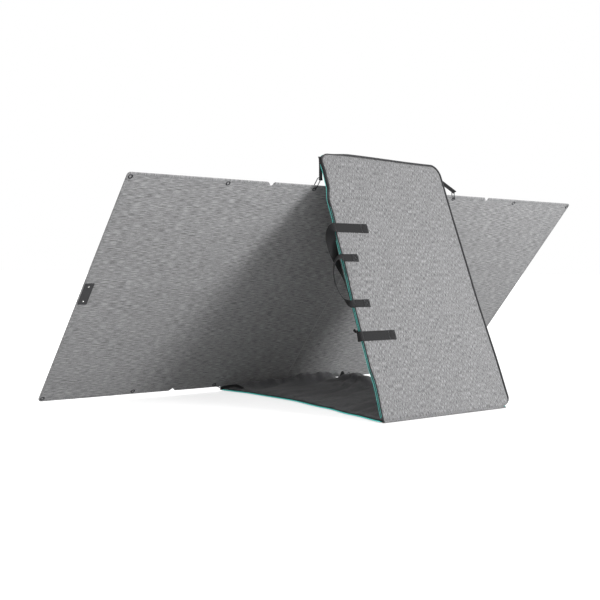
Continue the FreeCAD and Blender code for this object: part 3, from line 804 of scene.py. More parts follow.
for number in (1, 2, 3, 4):
    low, high = reach(f"section_{number}_back", FOOT, X)
    runs = []
    if number in (1, 4):
        u = spread(low, high, 90)
        foot = panel_point(u, set_back(u))
        top = panel_point(u[::-1], PANEL_HEIGHT - set_back(u[::-1]))
        runs.append(np.concatenate([foot, top] if number == 1 else [top, foot]))
    else:
        u = np.linspace(low, high, 60)
        runs.append(panel_point(u, set_back(u)))
        runs.append(panel_point(u[::-1], PANEL_HEIGHT - set_back(u[::-1])))
    for count, path in enumerate(runs):
        path = evenly(path, 4 * MM)
        ahead = unit(np.gradient(path, axis=0))
        out = np.cross(ahead, np.broadcast_to(PANEL_BACK, ahead.shape))
        name = f"section_hem_{number}" + ("ab"[count] if len(runs) > 1 else "")
        hem = tube(name, path, -out, HEM_PROFILE)
        finish(hem, panel_cloth, f"section_{number}")
        inside = path + out * (HEM_WIDTH - 2.2 * MM) + PANEL_BACK * (HEM_LIFT + 0.1 * MM)
        run = stitches(name.replace("hem", "hem_stitch"), inside, PANEL_BACK, 5 * MM,
                       3.6 * MM)
        finish(run, seam_thread, f"section_{number}")
print("hems made")

# %% [markdown]
# ## Eyelets
# Each eyelet is a pressed tube with two rolled flanges.  Its section is a
# closed loop of radius and height, turned once around the hole: a surface of
# two parameters, the turn and the place along the loop.
# %% Eyelets
BARREL = 5.0 * MM                      # radius of the bore
FLANGE = np.ptp(reach("section_2_eyelets", FOOT, X)) / 2
ROLLED = [(0.0, 0.0), (0.15, 0.55), (0.6, 0.95), (1.3, 1.1), (2.4, 0.95), (3.6, 0.62),
          (4.3, 0.45), (4.5, 0.1)]       # outwards from the bore, out of the cloth


def eyelet_shape(turns=36):
    """Points and faces of one eyelet, its axis along the first number."""
    edge = np.array(ROLLED) * MM
    radius = BARREL + np.concatenate([edge[:, 0], edge[::-1, 0]])
    height = np.concatenate([edge[:, 1], -SHEET - edge[::-1, 1]])
    turn = full_turn(turns)[:, None]
    points = np.stack(np.broadcast_arrays(
        height[None, :], radius * np.cos(turn), radius * np.sin(turn)), -1)
    faces = grid_faces(turns, len(radius), around=True, over=True)
    return points.reshape(-1, 3), faces[:, ::-1]


eyelet_points, eyelet_faces = eyelet_shape()
for number in (1, 2, 3, 4):
    node = f"section_{number}_eyelets"
    across, upward = reach(node, FOOT, X), reach(node, FOOT, PANEL_UP)
    u = sorted({round(across[0] + FLANGE, 4), round(across[1] - FLANGE, 4)})
    v = [upward[0] + FLANGE, upward[1] - FLANGE]
    centres = np.concatenate([panel_point(np.array(u), place) for place in v])
    rings = copies(f"eyelets_{number}", eyelet_points, eyelet_faces, centres,
                   PANEL_BACK, PANEL_UP)
    finish(rings, gunmetal, f"section_{number}", (node,))
print("eyelets made")

# %% [markdown]
# ## Closure patch and rivets
# The patch that holds the folded panel shut is a flat moulded plate with
# rounded corners and a raised rim.  Its outline is a rounded rectangle by
# formula, shrunk in rings towards the middle while the height changes.
# %% Closure patch
def rounded(width, height, radius, count=12):
    """Outline of a rounded rectangle, counter-clockwise: corner by corner."""
    turn = np.linspace(0, math.pi / 2, count)
    corners = []
    for k, (sx, sy) in enumerate(((1, 1), (-1, 1), (-1, -1), (1, -1))):
        angle = turn + k * math.pi / 2
        corners.append(np.stack([sx * (width / 2 - radius) + radius * np.cos(angle),
                                 sy * (height / 2 - radius) + radius * np.sin(angle)], 1))
    return np.concatenate(corners)


def plate(name, width, height, radius, levels, place):
    """A closed plate: rings (inset, lift) of a rounded rectangle, inset from
    its outline; place turns (across, along, lift) into the row frame."""
    rings = []
    for inset, lift in levels:
        shrink = min(inset, min(width, height) / 2 - 0.05 * MM)
        outline = rounded(width - 2 * shrink, height - 2 * shrink,
                          max(radius - shrink, 0.05 * MM))
        rings.append(place(outline[:, 0], outline[:, 1], lift))
    return surface(name, capped(np.stack(rings)), closed=True)


PATCH_LEVELS = [(0.2 * MM, 0.0), (0.0, 0.3 * MM), (0.0, 1.5 * MM), (0.5 * MM, 2.0 * MM),
                (2.2 * MM, 2.05 * MM), (2.9 * MM, 1.6 * MM), (9 * MM, 1.6 * MM)]
patch_u, patch_v = (reach("closure_plate", FOOT, way) for way in (X, PANEL_UP))
patch_at = (sum(patch_u) / 2, sum(patch_v) / 2)
patch = plate("closure_patch", patch_u[1] - patch_u[0], patch_v[1] - patch_v[0], 3 * MM,
              PATCH_LEVELS, lambda a, b, lift: panel_point(
                  patch_at[0] - a, patch_at[1] + b, lift + 0.3 * MM))
finish(patch, patch_plate, "section_1", ("closure_plate",))

rivet_v = reach("closure_rivets", FOOT, PANEL_UP)
RIVET = np.ptp(reach("closure_rivets", FOOT, X)) / 2
dome = [(RIVET * (1 - math.cos(t)), 2.0 * MM + 1.1 * MM * math.sin(t))
        for t in np.linspace(0, math.pi / 2, 7)]
for count, v in enumerate((rivet_v[0] + RIVET, rivet_v[1] - RIVET)):
    head = plate(f"closure_rivet_{count + 1}", 2 * RIVET, 2 * RIVET, RIVET,
                 [(0.0, 1.2 * MM), *dome], lambda a, b, lift, v=v: panel_point(
                     patch_at[0] - a, v + b, lift))
    finish(head, nickel, "section_1",
           ("closure_rivets",) if count == 0 else ())
print("closure patch made")

# %% [markdown]
# ## Solar cells
# Eighteen cells lie on each section's front, each with its corners cut off,
# as wafers are sawn from a round ingot.  One cell is a small grid whose
# rows narrow near its ends; it is set down at each place in the CAD grid.
# %% Cells
CELL = (178 * MM, 164 * MM)            # across the panel and up it
CELL_GAP = 3 * MM
CELL_CUT = 7 * MM                      # how much each corner loses
FILM_RISE = 0.6 * MM                   # a cell's step in the film


def cell_shape():
    """Points and faces of one cell: its width shrinks over the cut."""
    b = np.array([-0.5, -0.5 + CELL_CUT / CELL[1], 0.5 - CELL_CUT / CELL[1], 0.5])
    a = np.linspace(-0.5, 0.5, 4)
    wide = np.array([CELL[0] - 2 * CELL_CUT, CELL[0], CELL[0], CELL[0] - 2 * CELL_CUT])
    top = np.stack(np.broadcast_arrays(FILM_RISE, a[None] * wide[:, None],
                                       b[:, None] * CELL[1]), -1).reshape(-1, 3)
    low = top * (0, 1, 1)
    sheet = grid_faces(4, 4)
    loop = np.array([0, 1, 2, 3, 7, 11, 15, 14, 13, 12, 8, 4])
    after = np.roll(loop, -1)
    wall = np.stack([loop + 16, after + 16, after, loop], -1)
    faces = np.concatenate([sheet, sheet[:, ::-1] + 16, wall])
    return np.concatenate([top, low]), faces


def solar_cells(number):
    """All cells of one section, with each cell's own place as its UV."""
    node = f"section_{number}_cells"
    across, upward = reach(node, FOOT, X), reach(node, FOOT, PANEL_UP)
    columns = round((across[1] - across[0] + CELL_GAP) / (CELL[0] + CELL_GAP))
    rows = round((upward[1] - upward[0] + CELL_GAP) / (CELL[1] + CELL_GAP))
    u = across[0] + CELL[0] / 2 + np.arange(columns) * (CELL[0] + CELL_GAP)
    v = upward[0] + CELL[1] / 2 + np.arange(rows) * (CELL[1] + CELL_GAP)
    u, v = (k.reshape(-1) for k in np.meshgrid(u, v))
    shape, faces = cell_shape()
    centres = panel_point(u, v, -SHEET)
    cells = copies(f"solar_cells_{number}", shape, faces, centres, -PANEL_BACK, X)
    local = shape[:, 1:] + np.array(CELL) / 2
    layer = cells.data.uv_layers.new(name="cloth")
    layer.data.foreach_set("uv", np.tile(local[faces.reshape(-1)].reshape(-1),
                                         len(u)).astype(np.float32))
    cells.data.polygons.foreach_set("use_smooth", np.zeros(len(cells.data.polygons), bool))
    return finish(cells, cell_face, f"section_{number}", (node,))


def repaint(node, paint):
    """Gives a CAD node that keeps its own shape a new material."""
    mesh = frame["nodes"][node].data
    mesh.materials.clear()
    mesh.materials.append(paint)


for number in (1, 2, 3, 4):
    solar_cells(number)
    repaint(f"section_{number}_front", front_film)
    repaint(f"section_{number}_core", abs_plastic)
print("cells made")

# %% [markdown]
# # The case
# ## Two flaps from one outline
# Both flaps are cut alike: straight sides, rounded corners and a far edge.
# Real cloth never keeps a straight side, so each side strays a little, by a
# smooth curve through a few given places.  The cover, the lining and all
# the edge trims are built on this one outline, so they always meet.
# %% Flap outlines
CORNER_ROUND = 40 * MM
START = 0.0                            # the cloth starts at the spine
MIDDLE = (CASE_LEFT + CASE_RIGHT) / 2
HALF = (CASE_LEFT - CASE_RIGHT) / 2


def still(s):
    """An edge that keeps straight."""
    return 0 * np.asarray(s)


def strays(knots):
    """A stray by place along the flap, in metres, from knots in millimetres."""
    knots = np.array(knots, float) * MM
    return lambda s: smooth_between(np.asarray(s), knots)


REAR = {
    "name": "rear", "body": "rear_flap", "place": flap_point, "length": FLAP_TOP,
    "flip": 1, "heel": 40 * MM, "zip_depth": ZIP_DEPTH, "zip_inset": -1.0 * MM,
    "zip_stray": 0.8,
    "left": strays([(0, 6), (130, -2), (200, 5), (450, 5), (570, 1), (690, 4),
                    (765, -5), (835, -3), (893, -18), (950, -19), (1010, -14)]),
    "right": strays([(0, -13), (110, -11), (500, 6), (920, 13), (1010, 15)]),
    "top": strays([(-300, -22), (-220, -19), (310, -8), (400, -8)]),
}
GROUND = {
    "name": "ground", "body": "ground_flap", "place": ground_point,
    "length": GROUND_TOP, "flip": -1, "heel": 0.1 * MM, "zip_depth": 6.5 * MM,
    "zip_inset": -9 * MM, "zip_stray": 1.0,
    "left": strays([(0, -3), (190, -32), (380, -66), (640, -98), (860, -90), (1075, -60)]),
    "right": strays([(0, 0), (250, -6), (600, 4), (1075, -3)]),
    "top": still,
}


def flap_grid(flap, columns, rows, stray=1.0, inset=0.0, start=START):
    """Places (x, s) over a flap.  Across, they run from side to side; along,
    from the spine to the far edge, which is rounded at both corners."""
    a = 0.5 - 0.5 * np.cos(np.linspace(0, math.pi, columns))[None, :]
    b = np.linspace(0, 1, rows)[:, None]
    off = np.abs(2 * a - 1) * (HALF - inset)
    round_off = CORNER_ROUND - inset
    over = np.clip(off - (HALF - inset - round_off), 0, round_off)
    x_flat = MIDDLE + (2 * a - 1) * HALF
    far = (flap["length"] - inset + stray * flap["top"](x_flat)
           - round_off + np.sqrt(round_off ** 2 - over ** 2))
    low = start + flap["heel"] - np.sqrt(
        flap["heel"] ** 2 - np.clip((1 - 2 * a) * HALF - HALF + flap["heel"], 0,
                                    flap["heel"]) ** 2)
    s = low + (far - low) * b
    right = CASE_RIGHT + inset + stray * flap["right"](s)
    left = CASE_LEFT - inset + stray * flap["left"](s)
    return right + (left - right) * a, s


def flap_rim(flap, stray=1.0, inset=0.0, start=START, count=260):
    """The outline alone: up the left side, across, down the right and round
    the heel, where the first row still rises above the start."""
    x, s = flap_grid(flap, count, count, stray, inset, start)
    heel = int((s[0] > start + 5 * MM).sum())
    x = np.concatenate([x[:, -1], x[-1, -2::-1], x[-2::-1, 0], x[0, 1:heel]])
    s = np.concatenate([s[:, -1], s[-1, -2::-1], s[-2::-1, 0], s[0, 1:heel]])
    return x, s


def rim_path(flap, depth, stray=1.0, inset=0.0, start=START, step=4 * MM):
    """The outline at a depth, as points in the row frame, evenly apart, and
    the direction that points out of the flap's side at each of them."""
    x, s = flap_rim(flap, stray, inset, start)
    path = evenly(flap["place"](x, s, depth), step)[::flap["flip"]]
    cover = np.cross(flap["place"](0.0, 1.0) - flap["place"](0.0, 0.0), X) * flap["flip"]
    ahead = unit(np.gradient(path, axis=0))
    return path, np.cross(np.broadcast_to(cover, ahead.shape), ahead)


print("outlines ready")

# %% [markdown]
# ## Covers
# The rear flap's cover is drawn tight over its stiff board: nearly flat, and
# rolling down into the piping within a centimetre of the seam.  Depth is a
# function of the place and of how near the seam it lies.
# %% Covers
PIPING = 2.7 * MM                      # radius of the rear flap's piping
SEAM_DEPTH = 3.4 * MM                  # how far in from the cover the seam lies


def near_edge(flap, x, s, width):
    """One at the flap's seam, falling to nothing a width further in."""
    left = CASE_LEFT + flap["left"](s) - x
    right = x - CASE_RIGHT - flap["right"](s)
    far = flap["length"] + flap["top"](x) - s
    inner = CORNER_ROUND - np.minimum(left, right)
    top = CORNER_ROUND - far
    corner = CORNER_ROUND - np.hypot(np.maximum(inner, 0), np.maximum(top, 0))
    gap = np.where((inner > 0) & (top > 0), corner, np.minimum(np.minimum(left, right), far))
    return np.clip(1 - gap / width, 0, 1)


def cover_depth(flap, x, s):
    """How deep the outer cloth lies: rolled in at the seam, faintly uneven."""
    roll = near_edge(flap, x, s, 11 * MM)
    pull = near_edge(flap, x, s, 45 * MM)
    depth = (SEAM_DEPTH * roll ** 2.6 + ripples(x, s, 0.30, 0.45 * MM, 21, (1, 1.6))
             + pull * ripples(x, s, 0.06, 0.28 * MM, 22))
    if flap["name"] == "ground":
        depth = np.maximum(depth * 0.2, 0.25 * MM) + SEAM_DEPTH * roll ** 2
    return depth


def cover(flap, columns=120, rows=130):
    """The outer cloth of a flap."""
    x, s = flap_grid(flap, columns, rows)
    depth = cover_depth(flap, x, s)
    side = slice(None, None, -flap["flip"])
    piece = surface(f"{flap['name']}_cover_cloth", flap["place"](x, s, depth)[:, side],
                    np.stack([x, s], -1)[:, side], thickness=1.2 * MM)
    finish(piece, case_cloth, flap["body"],
           (f"{flap['name']}_cover", f"{flap['name']}_board"))
    return cut_from(piece)


def cover_seam(flap, inset=8.5 * MM):
    """The row of stitches that holds the piping, just inside the edge."""
    x, s = flap_rim(flap, 1.0, inset, 4 * MM)
    path = flap["place"](x, s, cover_depth(flap, x, s) - 0.1 * MM)
    up = flap["place"](0.0, 1.0) - flap["place"](0.0, 0.0)
    run = stitches(f"{flap['name']}_cover_seam", evenly(path, 3 * MM),
                   np.cross(up, X) * flap["flip"], 5 * MM, 3.6 * MM)
    return finish(run, seam_thread, flap["body"])


for flap in (REAR, GROUND):
    cover(flap)
    cover_seam(flap)

# %% [markdown]
# ## Linings
# The lining is thin loose nylon.  Long slack folds run through it, and at
# the panel's foot, where the lower hooks pull, it bunches into a ridge.  The
# folds are waves that are long one way and short the other.
# %% Linings
RIDGE_S = SPINE[1] - FOOT[1] - 58 * MM         # behind the panel's lower edge
RIDGE_WIDE = 30 * MM
RIDGE_HIGH = 36 * MM
HUMP_X, HUMP_S = -0.195, SPINE[1] + 0.250      # where the loosest cloth heaps up
HUMP_WIDE, HUMP_LONG, HUMP_HIGH = 0.075, 0.15, 50 * MM


def slack(flap, x, s):
    """How far the lining stands off its board."""
    if flap["name"] == "rear":
        return (ripples(x, s, 0.16, 1.1 * MM, 31, (1, 2.6)) + 1.5 * MM
                + ripples(x, s, 0.06, 0.4 * MM, 32, (1, 2)))
    lean = x * 0.30 + s                # the folds run a little aslant
    folds = ripples(x + 0.25 * s, lean, 0.105, 4.2 * MM, 33, (5.0, 1)) + 6.0 * MM
    fine = ripples(x + 0.3 * s, lean, 0.045, 1.0 * MM, 34, (4.0, 1))
    wander = 8 * MM * np.sin(x * 9.0 + 0.6) + 5 * MM * np.sin(x * 23.0)
    ridge = np.exp(-((s - RIDGE_S + wander) / RIDGE_WIDE) ** 2)
    along = smooth_between(x, [(-0.30, 0.9), (-0.05, 1.05), (0.10, 0.8), (0.25, 0.75),
                               (0.31, 0.35), (0.36, 0.2)])
    bunch = 1 + 0.10 * np.sin(x * 61.0) + 0.08 * np.sin(x * 113.0 + 1.0)
    hump = HUMP_HIGH * np.exp(-((x - HUMP_X) / HUMP_WIDE) ** 2
                              - ((s - HUMP_S + 0.35 * (x - HUMP_X)) / HUMP_LONG) ** 2)
    return folds + fine + RIDGE_HIGH * ridge * along * bunch + hump * bunch


def flatten(piece):
    """Gives the piece its own copy of its mesh."""
    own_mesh(piece)


def lining(flap, columns=130, rows=150):
    """The inner cloth of a flap, sewn down at its edge."""
    x, s = flap_grid(flap, columns, rows, inset=2 * MM)
    held = near_edge(flap, x, s, 30 * MM)
    depth = THICK + slack(flap, x, s) * (1 - held) ** 0.8
    side = slice(None, None, flap["flip"])
    gone = np.hypot(np.diff(s, axis=0), np.diff(depth, axis=0)).cumsum(0)
    along = s[:1] + np.concatenate([np.zeros_like(s[:1]), gone])
    piece = surface(f"{flap['name']}_lining_cloth", flap["place"](x, s, depth)[:, side],
                    np.stack([x, along], -1)[:, side], thickness=0.6 * MM)
    finish(piece, lining_cloth, flap["body"], (f"{flap['name']}_lining",))
    if flap["name"] == "ground":
        flatten(piece)
    return cut_from(piece)


for flap in (REAR, GROUND):
    lining(flap)
print("covers and linings made")

# %% [markdown]
# ## Walls, piping and zip
# Between cover and zip each flap has a low cloth wall.  From the cover
# inwards come a round piping, a thin coloured cord, the dark tape of the
# wall and last the coloured zip teeth, all carried along the same outline.
# %% Edge trims
WALL_START = 14 * MM                   # the walls stop short of the spine


def wall(flap, rows=9):
    """Dark tape between two outlines, ruled across and bowed outwards."""
    low, out = rim_path(flap, SEAM_DEPTH + PIPING - 1 * MM, 1.0, 0.6 * MM, WALL_START)
    high, _ = rim_path(flap, flap["zip_depth"] - 2.2 * MM, flap["zip_stray"],
                       1.4 * MM + flap["zip_inset"], WALL_START)
    count = min(len(low), len(high))
    share = np.linspace(0, 1, count)
    low, high, out = (between(share, np.linspace(0, 1, len(k)), k)
                      for k in (low, high, out))
    out = unit(out)
    t = np.linspace(0, 1, rows)[None, :, None]
    gone = np.linspace(0, 2.7, count)
    bow = (0.7 + 0.3 * np.sin(gone * 47) + 0.2 * np.sin(gone * 83)) * MM
    points = (low[:, None] * (1 - t) + high[:, None] * t
              + np.sin(t * math.pi) * bow[:, None, None] * out[:, None])
    cloth = np.stack(np.broadcast_arrays(t[..., 0] * 0.012, gone[:, None]), -1)
    piece = surface(f"{flap['name']}_zip_wall", points, cloth, thickness=1.2 * MM)
    return finish(piece, tape_cloth, flap["body"], (f"{flap['name']}_wall",))


def trim(flap, name, depth, radius, inset, paint, slot, stray=1.0, stands_for=(),
         start=START, full=1.0, push=0.0):
    """A round cord sewn along the outline.  Past the first corner it is full
    times as thick and pushed further out."""
    path, out = rim_path(flap, depth, stray, inset, start)
    share = np.linspace(0, 1, len(path))
    proud = smooth_between(share, [(0, 0), (0.40, 0), (0.44, 1), (0.987, 1), (1, 0)])
    size = 1 + (full - 1) * proud
    path = path + (push * proud)[:, None] * out
    piece = tube(f"{flap['name']}_{name}", path, out, ring(radius, 10), size)
    return finish(piece, paint, flap["body"], stands_for)


def zip_teeth(flap):
    """Moulded teeth every three millimetres along the zip line."""
    path, out = rim_path(flap, flap["zip_depth"] - 1.0 * MM, flap["zip_stray"],
                         1.5 * MM + flap["zip_inset"], WALL_START, 3 * MM)
    _, side = frames(path, out)
    shape, faces = bead(2.0 * MM, 2.6 * MM, 2.6 * MM)
    teeth = copies(f"{flap['name']}_zip_coil", shape, faces, path, side, out)
    return finish(teeth, nylon_teeth, flap["body"],
                  (f"{flap['name']}_zip_teeth",))


def zip_edge(flap, radius):
    """Where the cord beside the zip lies, and how thick it is."""
    return flap["zip_depth"] - 2.6 * MM, radius, 0.4 * MM + flap["zip_inset"]


CORDS = {                              # depth, radius and inset of each cord
    "rear": {"edge_piping": (SEAM_DEPTH - 0.2 * MM, PIPING, 0.6 * MM),
             "seam_cord": (SEAM_DEPTH + 3.4 * MM, 0.9 * MM, -0.4 * MM),
             "zip_edge": zip_edge(REAR, 0.7 * MM)},
    "ground": {"edge_piping": (2.0 * MM, 1.6 * MM, 3.0 * MM),
               "seam_cord": (3.0 * MM, 1.4 * MM, 1.0 * MM),
               "zip_edge": zip_edge(GROUND, 1.5 * MM)},
}
PROUD = {"rear": (1.55, 5.0 * MM), "ground": (1.0, 0.0)}   # full and push of the piping

for flap in (REAR, GROUND):
    label = flap["name"]
    cords = CORDS[label]
    full, push = PROUD[label]
    wall(flap)
    trim(flap, "edge_piping", *cords["edge_piping"], binding_cloth, "dark_lining",
         stands_for=(f"{label}_piping",), full=full, push=push)
    trim(flap, "seam_cord", *cords["seam_cord"], teal_tape, "teal_trim", start=WALL_START)
    trim(flap, "zip_edge", *cords["zip_edge"], teal_tape, "teal_trim",
         flap["zip_stray"], start=WALL_START)
    zip_teeth(flap)
print("edge trims made")

# %% [markdown]
# ## Spine
# The cover's cloth runs on from one flap to the other round the fold.  Its
# section is an arc about the spine.
# %% Spine cloth
SPINE_RADIUS = THICK - 0.6 * MM
rear_out = -FLAP_IN
turn_to = math.atan2(rear_out[2], rear_out[1])
turn = np.linspace(-math.pi / 2 - 0.25, turn_to + 0.25, 28)[:, None]
x = np.linspace(CASE_LEFT + 4 * MM, CASE_RIGHT + 24 * MM, 90)[None, :]
crumple = ripples(x, turn * SPINE_RADIUS, 0.05, 0.25 * MM, 41, (1, 0.3))
radius = SPINE_RADIUS - 0.2 * MM + crumple
points = SPINE + x[..., None] * X + radius[..., None] * (
    np.cos(turn)[..., None] * Y + np.sin(turn)[..., None] * Z)
cloth = np.stack(np.broadcast_arrays(x, turn * SPINE_RADIUS), -1)
spine_cloth = surface("spine_cloth", points, cloth, thickness=1.0 * MM)
spine_cloth.data.materials.append(case_cloth)
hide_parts("spine_roll")
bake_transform(spine_cloth)
cut_from(spine_cloth)
print("spine made")

# %% [markdown]
# # Straps
# ## Handles
# A handle is one length of webbing, sewn flat to the cover at both ends and
# free between them.  Webbing bends over its face but not over its edge, so
# the free part has to twist as it turns.  A strap is a flat rounded section
# carried along a smooth path, with the width's direction given at a few places.
# %% Webbing straps
WEB_THICK = 1.9 * MM


def smooth_path(knots, count):
    """A smooth run through the rows of a list (Catmull and Rom's curve)."""
    knots = np.asarray(knots, float)
    padded = np.concatenate([2 * knots[:1] - knots[1:2], knots,
                             2 * knots[-1:] - knots[-2:-1]])
    t = np.linspace(0, len(knots) - 1 - 1e-9, count)
    k = t.astype(int)
    f = (t - k)[:, None]
    a, b, c, d = (padded[k + i] for i in range(4))
    return 0.5 * (2 * b + (c - a) * f + (2 * a - 5 * b + 4 * c - d) * f ** 2
                  + (3 * b - 3 * c + d - a) * f ** 3)


def strap(name, path, across, width, thick=WEB_THICK, sides=20):
    """A flat strap along a path; across points along its width.  Its section
    is a rectangle with round edges, thinner at the two woven selvedges."""
    ahead = unit(np.gradient(path, axis=0))
    across = unit(across - (across * ahead).sum(-1, keepdims=True) * ahead)
    face = np.cross(ahead, across)
    turn = full_turn(sides)
    flat = np.sign(np.cos(turn)) * np.abs(np.cos(turn)) ** 0.45 * width / 2
    high = np.sign(np.sin(turn)) * np.abs(np.sin(turn)) ** 0.75 * thick / 2
    points = (path[:, None] + flat[None, :, None] * across[:, None]
              + high[None, :, None] * face[:, None])
    points = capped(points)[:, ::-1]
    gone = gone_along(path)
    gone = np.concatenate([[0], gone, gone[-1:]])
    place = np.append(flat[::-1], flat[-1])
    cloth = np.stack(np.broadcast_arrays(place[None, :], gone[:, None]), -1)
    return surface(name, points, cloth, closed=True)


def flap_way(x, s, depth):
    """A direction from its parts across, up and into the rear flap."""
    return (np.asarray(x)[..., None] * X + np.asarray(s)[..., None] * FLAP_UP
            + np.asarray(depth)[..., None] * FLAP_IN)


LOOP_X = where("handle_outer_swing")[0]        # where the free loops begin


def sewn_end(name, s, width, tail):
    """The sewn end of a handle: folded under once, stitched in a box with a
    cross, and running over the flap's edge."""
    bend = 2.0 * MM
    xs = np.array([tail + 24 * MM, tail + 12 * MM, tail + bend, tail,
                   tail + bend, tail + 12 * MM, tail + 24 * MM, tail + 34 * MM,
                   (tail + LOOP_X) / 2, LOOP_X - 12 * MM, LOOP_X])
    depths = np.array([-0.8, -0.9, -0.9, -1.8, -2.8, -2.9, -2.9, -1.6, -1.3, -1.5, -1.2]) * MM
    knots = flap_point(xs, np.full(len(xs), s), depths)
    path = evenly(smooth_path(knots, 260), 1.2 * MM)
    across = np.broadcast_to(FLAP_UP, path.shape)
    piece = strap(name, path, across, width)
    finish(piece, webbing, "rear_flap")
    half = width / 2 - 3.2 * MM
    low, high = tail + 3 * MM, tail + 3 * MM + 2 * half
    top = -2.9 * MM - WEB_THICK / 2 - 0.1 * MM     # on the doubled part
    square = [(low, -half), (high, -half), (high, half), (low, half), (low, -half),
              (high, half)]
    for count, line in enumerate((square, [(high, -half), (low, half)])):
        x, y = np.array(line).T
        level = np.where(x > tail + 26 * MM, -2.6 * MM, top)
        run = evenly(flap_point(x, s + y, level), 2 * MM)
        seam = stitches(f"{name}_stitch_{count + 1}", run, -FLAP_IN)
        finish(seam, thread, "rear_flap")
    return piece


def end_places(node):
    """The upper and lower strap of a handle: middles, width and inner end."""
    low, high = reach(node, SPINE, FLAP_UP)
    along = (corners_of(node) - SPINE) @ FLAP_UP
    width = float(along[along < (low + high) / 2].max() - low)
    return high - width / 2, low + width / 2, width, reach(node, SPINE, X)[0]


hung = {}
for handle in ("outer", "inner"):
    upper, lower, width, tail = end_places(f"handle_{handle}_ends")
    made = sewn_end(f"handle_{handle}_upper_end", upper, width, tail)
    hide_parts(f"handle_{handle}_ends")
    sewn_end(f"handle_{handle}_lower_end", lower, width, tail)
    hung[handle] = (upper, width)
print("handle ends sewn")

# %% [markdown]
# The outer loop has slipped behind the flap and hangs there in a long bow;
# the inner one stands out stiffly from the edge, seen almost on its own
# edge.  Each row below is a place across, up and into the flap, in
# millimetres, and then the way the width points there, in the same three
# directions.
# %% Free loops
OUTER_LOOP = [
    (0, 0, -1.1, 0, 1, 0), (10, 0, -1.8, 0, 1, 0.05), (18, -6, 6, 0.15, 0.95, 0.3),
    (19, -22, 17, 0.5, 0.6, 0.62), (13, -52, 28, 0.85, 0.15, 0.5),
    (3, -96, 38, 0.97, -0.05, 0.1), (-13, -140, 46, 0.90, -0.1, -0.3),
    (-25, -186, 50, 0.75, -0.2, -0.62), (-30, -245, 50, 0.72, -0.25, -0.65),
    (-28, -320, 46, 0.7, -0.35, -0.6), (-18, -376, 36, 0.5, -0.75, -0.4),
    (2, -402, 25, 0.2, -0.95, -0.1), (15, -413, 12, 0.05, -1, 0.05),
    (11, -416, -1.5, 0, -1, 0), (0, -416, -1.1, 0, -1, 0)]
INNER_LOOP = [
    (0, 0, -1.2, 0, 1, 0), (10, 1, -1.4, -0.15, 0.95, 0.3),
    (24, -2, 1, -0.50, 0.62, 0.6), (40, -16, 6, -0.58, 0.50, 0.66),
    (54, -46, 9, -0.56, 0.44, 0.70), (60, -84, 10, -0.56, 0.42, 0.72),
    (56, -122, 9, -0.58, 0.40, 0.71), (43, -152, 6, -0.62, 0.20, 0.72),
    (26, -170, 1, -0.5, -0.45, 0.70), (10, -176, -1.4, -0.15, -0.95, 0.3),
    (0, -175, -1.2, 0, -1, 0)]


def loop(handle, rows, upper, width):
    """A free handle loop from its listed rows, hung from its upper strap."""
    run = smooth_path(rows, 400)
    path = flap_point(LOOP_X + run[:, 0] * MM, upper + run[:, 1] * MM, run[:, 2] * MM)
    way = flap_way(run[:, 3], run[:, 4], run[:, 5])
    gone = gone_along(path)
    marks = np.linspace(0, gone[-1], int(gone[-1] / (2.5 * MM)))
    path, way = between(marks, gone, path), between(marks, gone, way)
    return finish(strap(f"handle_{handle}_webbing", path, way, width), webbing,
                  f"handle_{handle}", (f"handle_{handle}_loop",))


for handle, rows in (("outer", OUTER_LOOP), ("inner", INNER_LOOP)):
    loop(handle, rows, *hung[handle])
print("handles made")

# %% [markdown]
# ## Hook tabs
# Each snap hook hangs in the eye of a short doubled tab.  The tab leaves its
# seam, goes once round the hook's wire and comes back beside itself.
# %% Tabs
TAB_WIDTH = 15 * MM
TAB_THICK = 1.5 * MM
WIRE = 1.7 * MM                        # radius of the hooks' wire


def hook_eye(hook, gate):
    """Middle of a hook's far end, and the direction across the hook."""
    across = np.array(joint[gate]["axis"], float)
    along = np.cross(across, PANEL_BACK)
    start = where(gate)
    low, high = reach(hook, start, along)
    along = along if high > -low else -along
    side = reach(hook, start, across)
    far = start + along * (max(high, -low) - WIRE)
    return far + across * (side[0] + side[1]) / 2, across


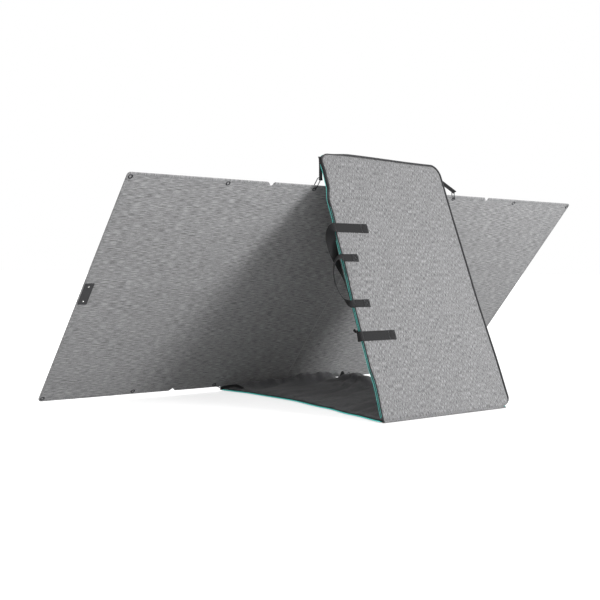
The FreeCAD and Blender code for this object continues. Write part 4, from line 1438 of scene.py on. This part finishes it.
def tab(end, side, seam):
    """A doubled tab from its sewn seam round the hook's wire."""
    eye, across = hook_eye(f"hook_{end}_{side}", f"gate_{end}_{side}")
    seam = np.asarray(seam, float)
    ahead = unit(eye - seam[-1])
    beside = unit(np.cross(across, ahead))
    round_it = WIRE + 0.3 * MM + TAB_THICK / 2
    near = eye - ahead * 9 * MM
    gap = TAB_THICK * 0.62
    out = [*(seam + beside * gap), near + beside * gap, eye + beside * round_it,
           eye + (beside + ahead) * round_it * 0.72, eye + ahead * round_it,
           eye + (ahead - beside) * round_it * 0.72, eye - beside * round_it,
           near - beside * gap, *(seam[::-1] - beside * gap)]
    path = evenly(smooth_path(out, 300), 1.0 * MM)
    share = np.abs(np.linspace(-1, 1, len(path)))[:, None] ** 2
    way = X * share + across * np.sign(across @ X or 1) * (1 - share)
    piece = strap(f"{end}_tab_{side}", path, way, TAB_WIDTH, TAB_THICK)
    finish(piece, webbing, "rear_flap" if end == "top" else "ground_flap",
           (f"{end}_tabs",) if side == "left" else ())
    if end == "foot":
        flatten(piece)


def rear_seam(x, s):
    """Where a top tab leaves the rear flap's far edge."""
    return [flap_point(x, s + 16 * MM, THICK + 2 * MM), flap_point(x, s, THICK + 3 * MM)]


def lining_top(x, s):
    """The ground lining's height, as a point in the row frame."""
    x, s = np.asarray(x, float), np.asarray(s, float)
    return ground_point(x, s, THICK + slack(GROUND, x, s) + 2.2 * MM)


tab("top", "left", rear_seam(0.379, 0.998))
tab("top", "right", rear_seam(-0.246, 0.962))
tab("foot", "left", [lining_top(0.300, 0.955), lining_top(0.318, 0.990)])
tab("foot", "right", [lining_top(-0.262, 0.84), lining_top(-0.268, 0.90),
                      lining_top(-0.285, 0.95), lining_top(-0.305, 0.995)])
print("tabs made")

# %% [markdown]
# ## Small hard parts
# The hooks, gates, zip sliders and junction box already have their real shape
# in the frame, so each only gets its metal or plastic.
# %% Small parts that keep their CAD shape
CORNERS = ("top_left", "top_right", "foot_left", "foot_right")
for node in ("junction_box", "junction_lid", "junction_gland"):
    repaint(node, abs_plastic)
repaint("junction_screws", nickel)
for node in ([f"{part}_{place}" for part in ("hook", "gate") for place in CORNERS]
             + [f"zip_{part}_{place}" for part in ("slider", "pull")
                for place in ("left", "right")]):
    repaint(node, gunmetal)
print("small parts painted")
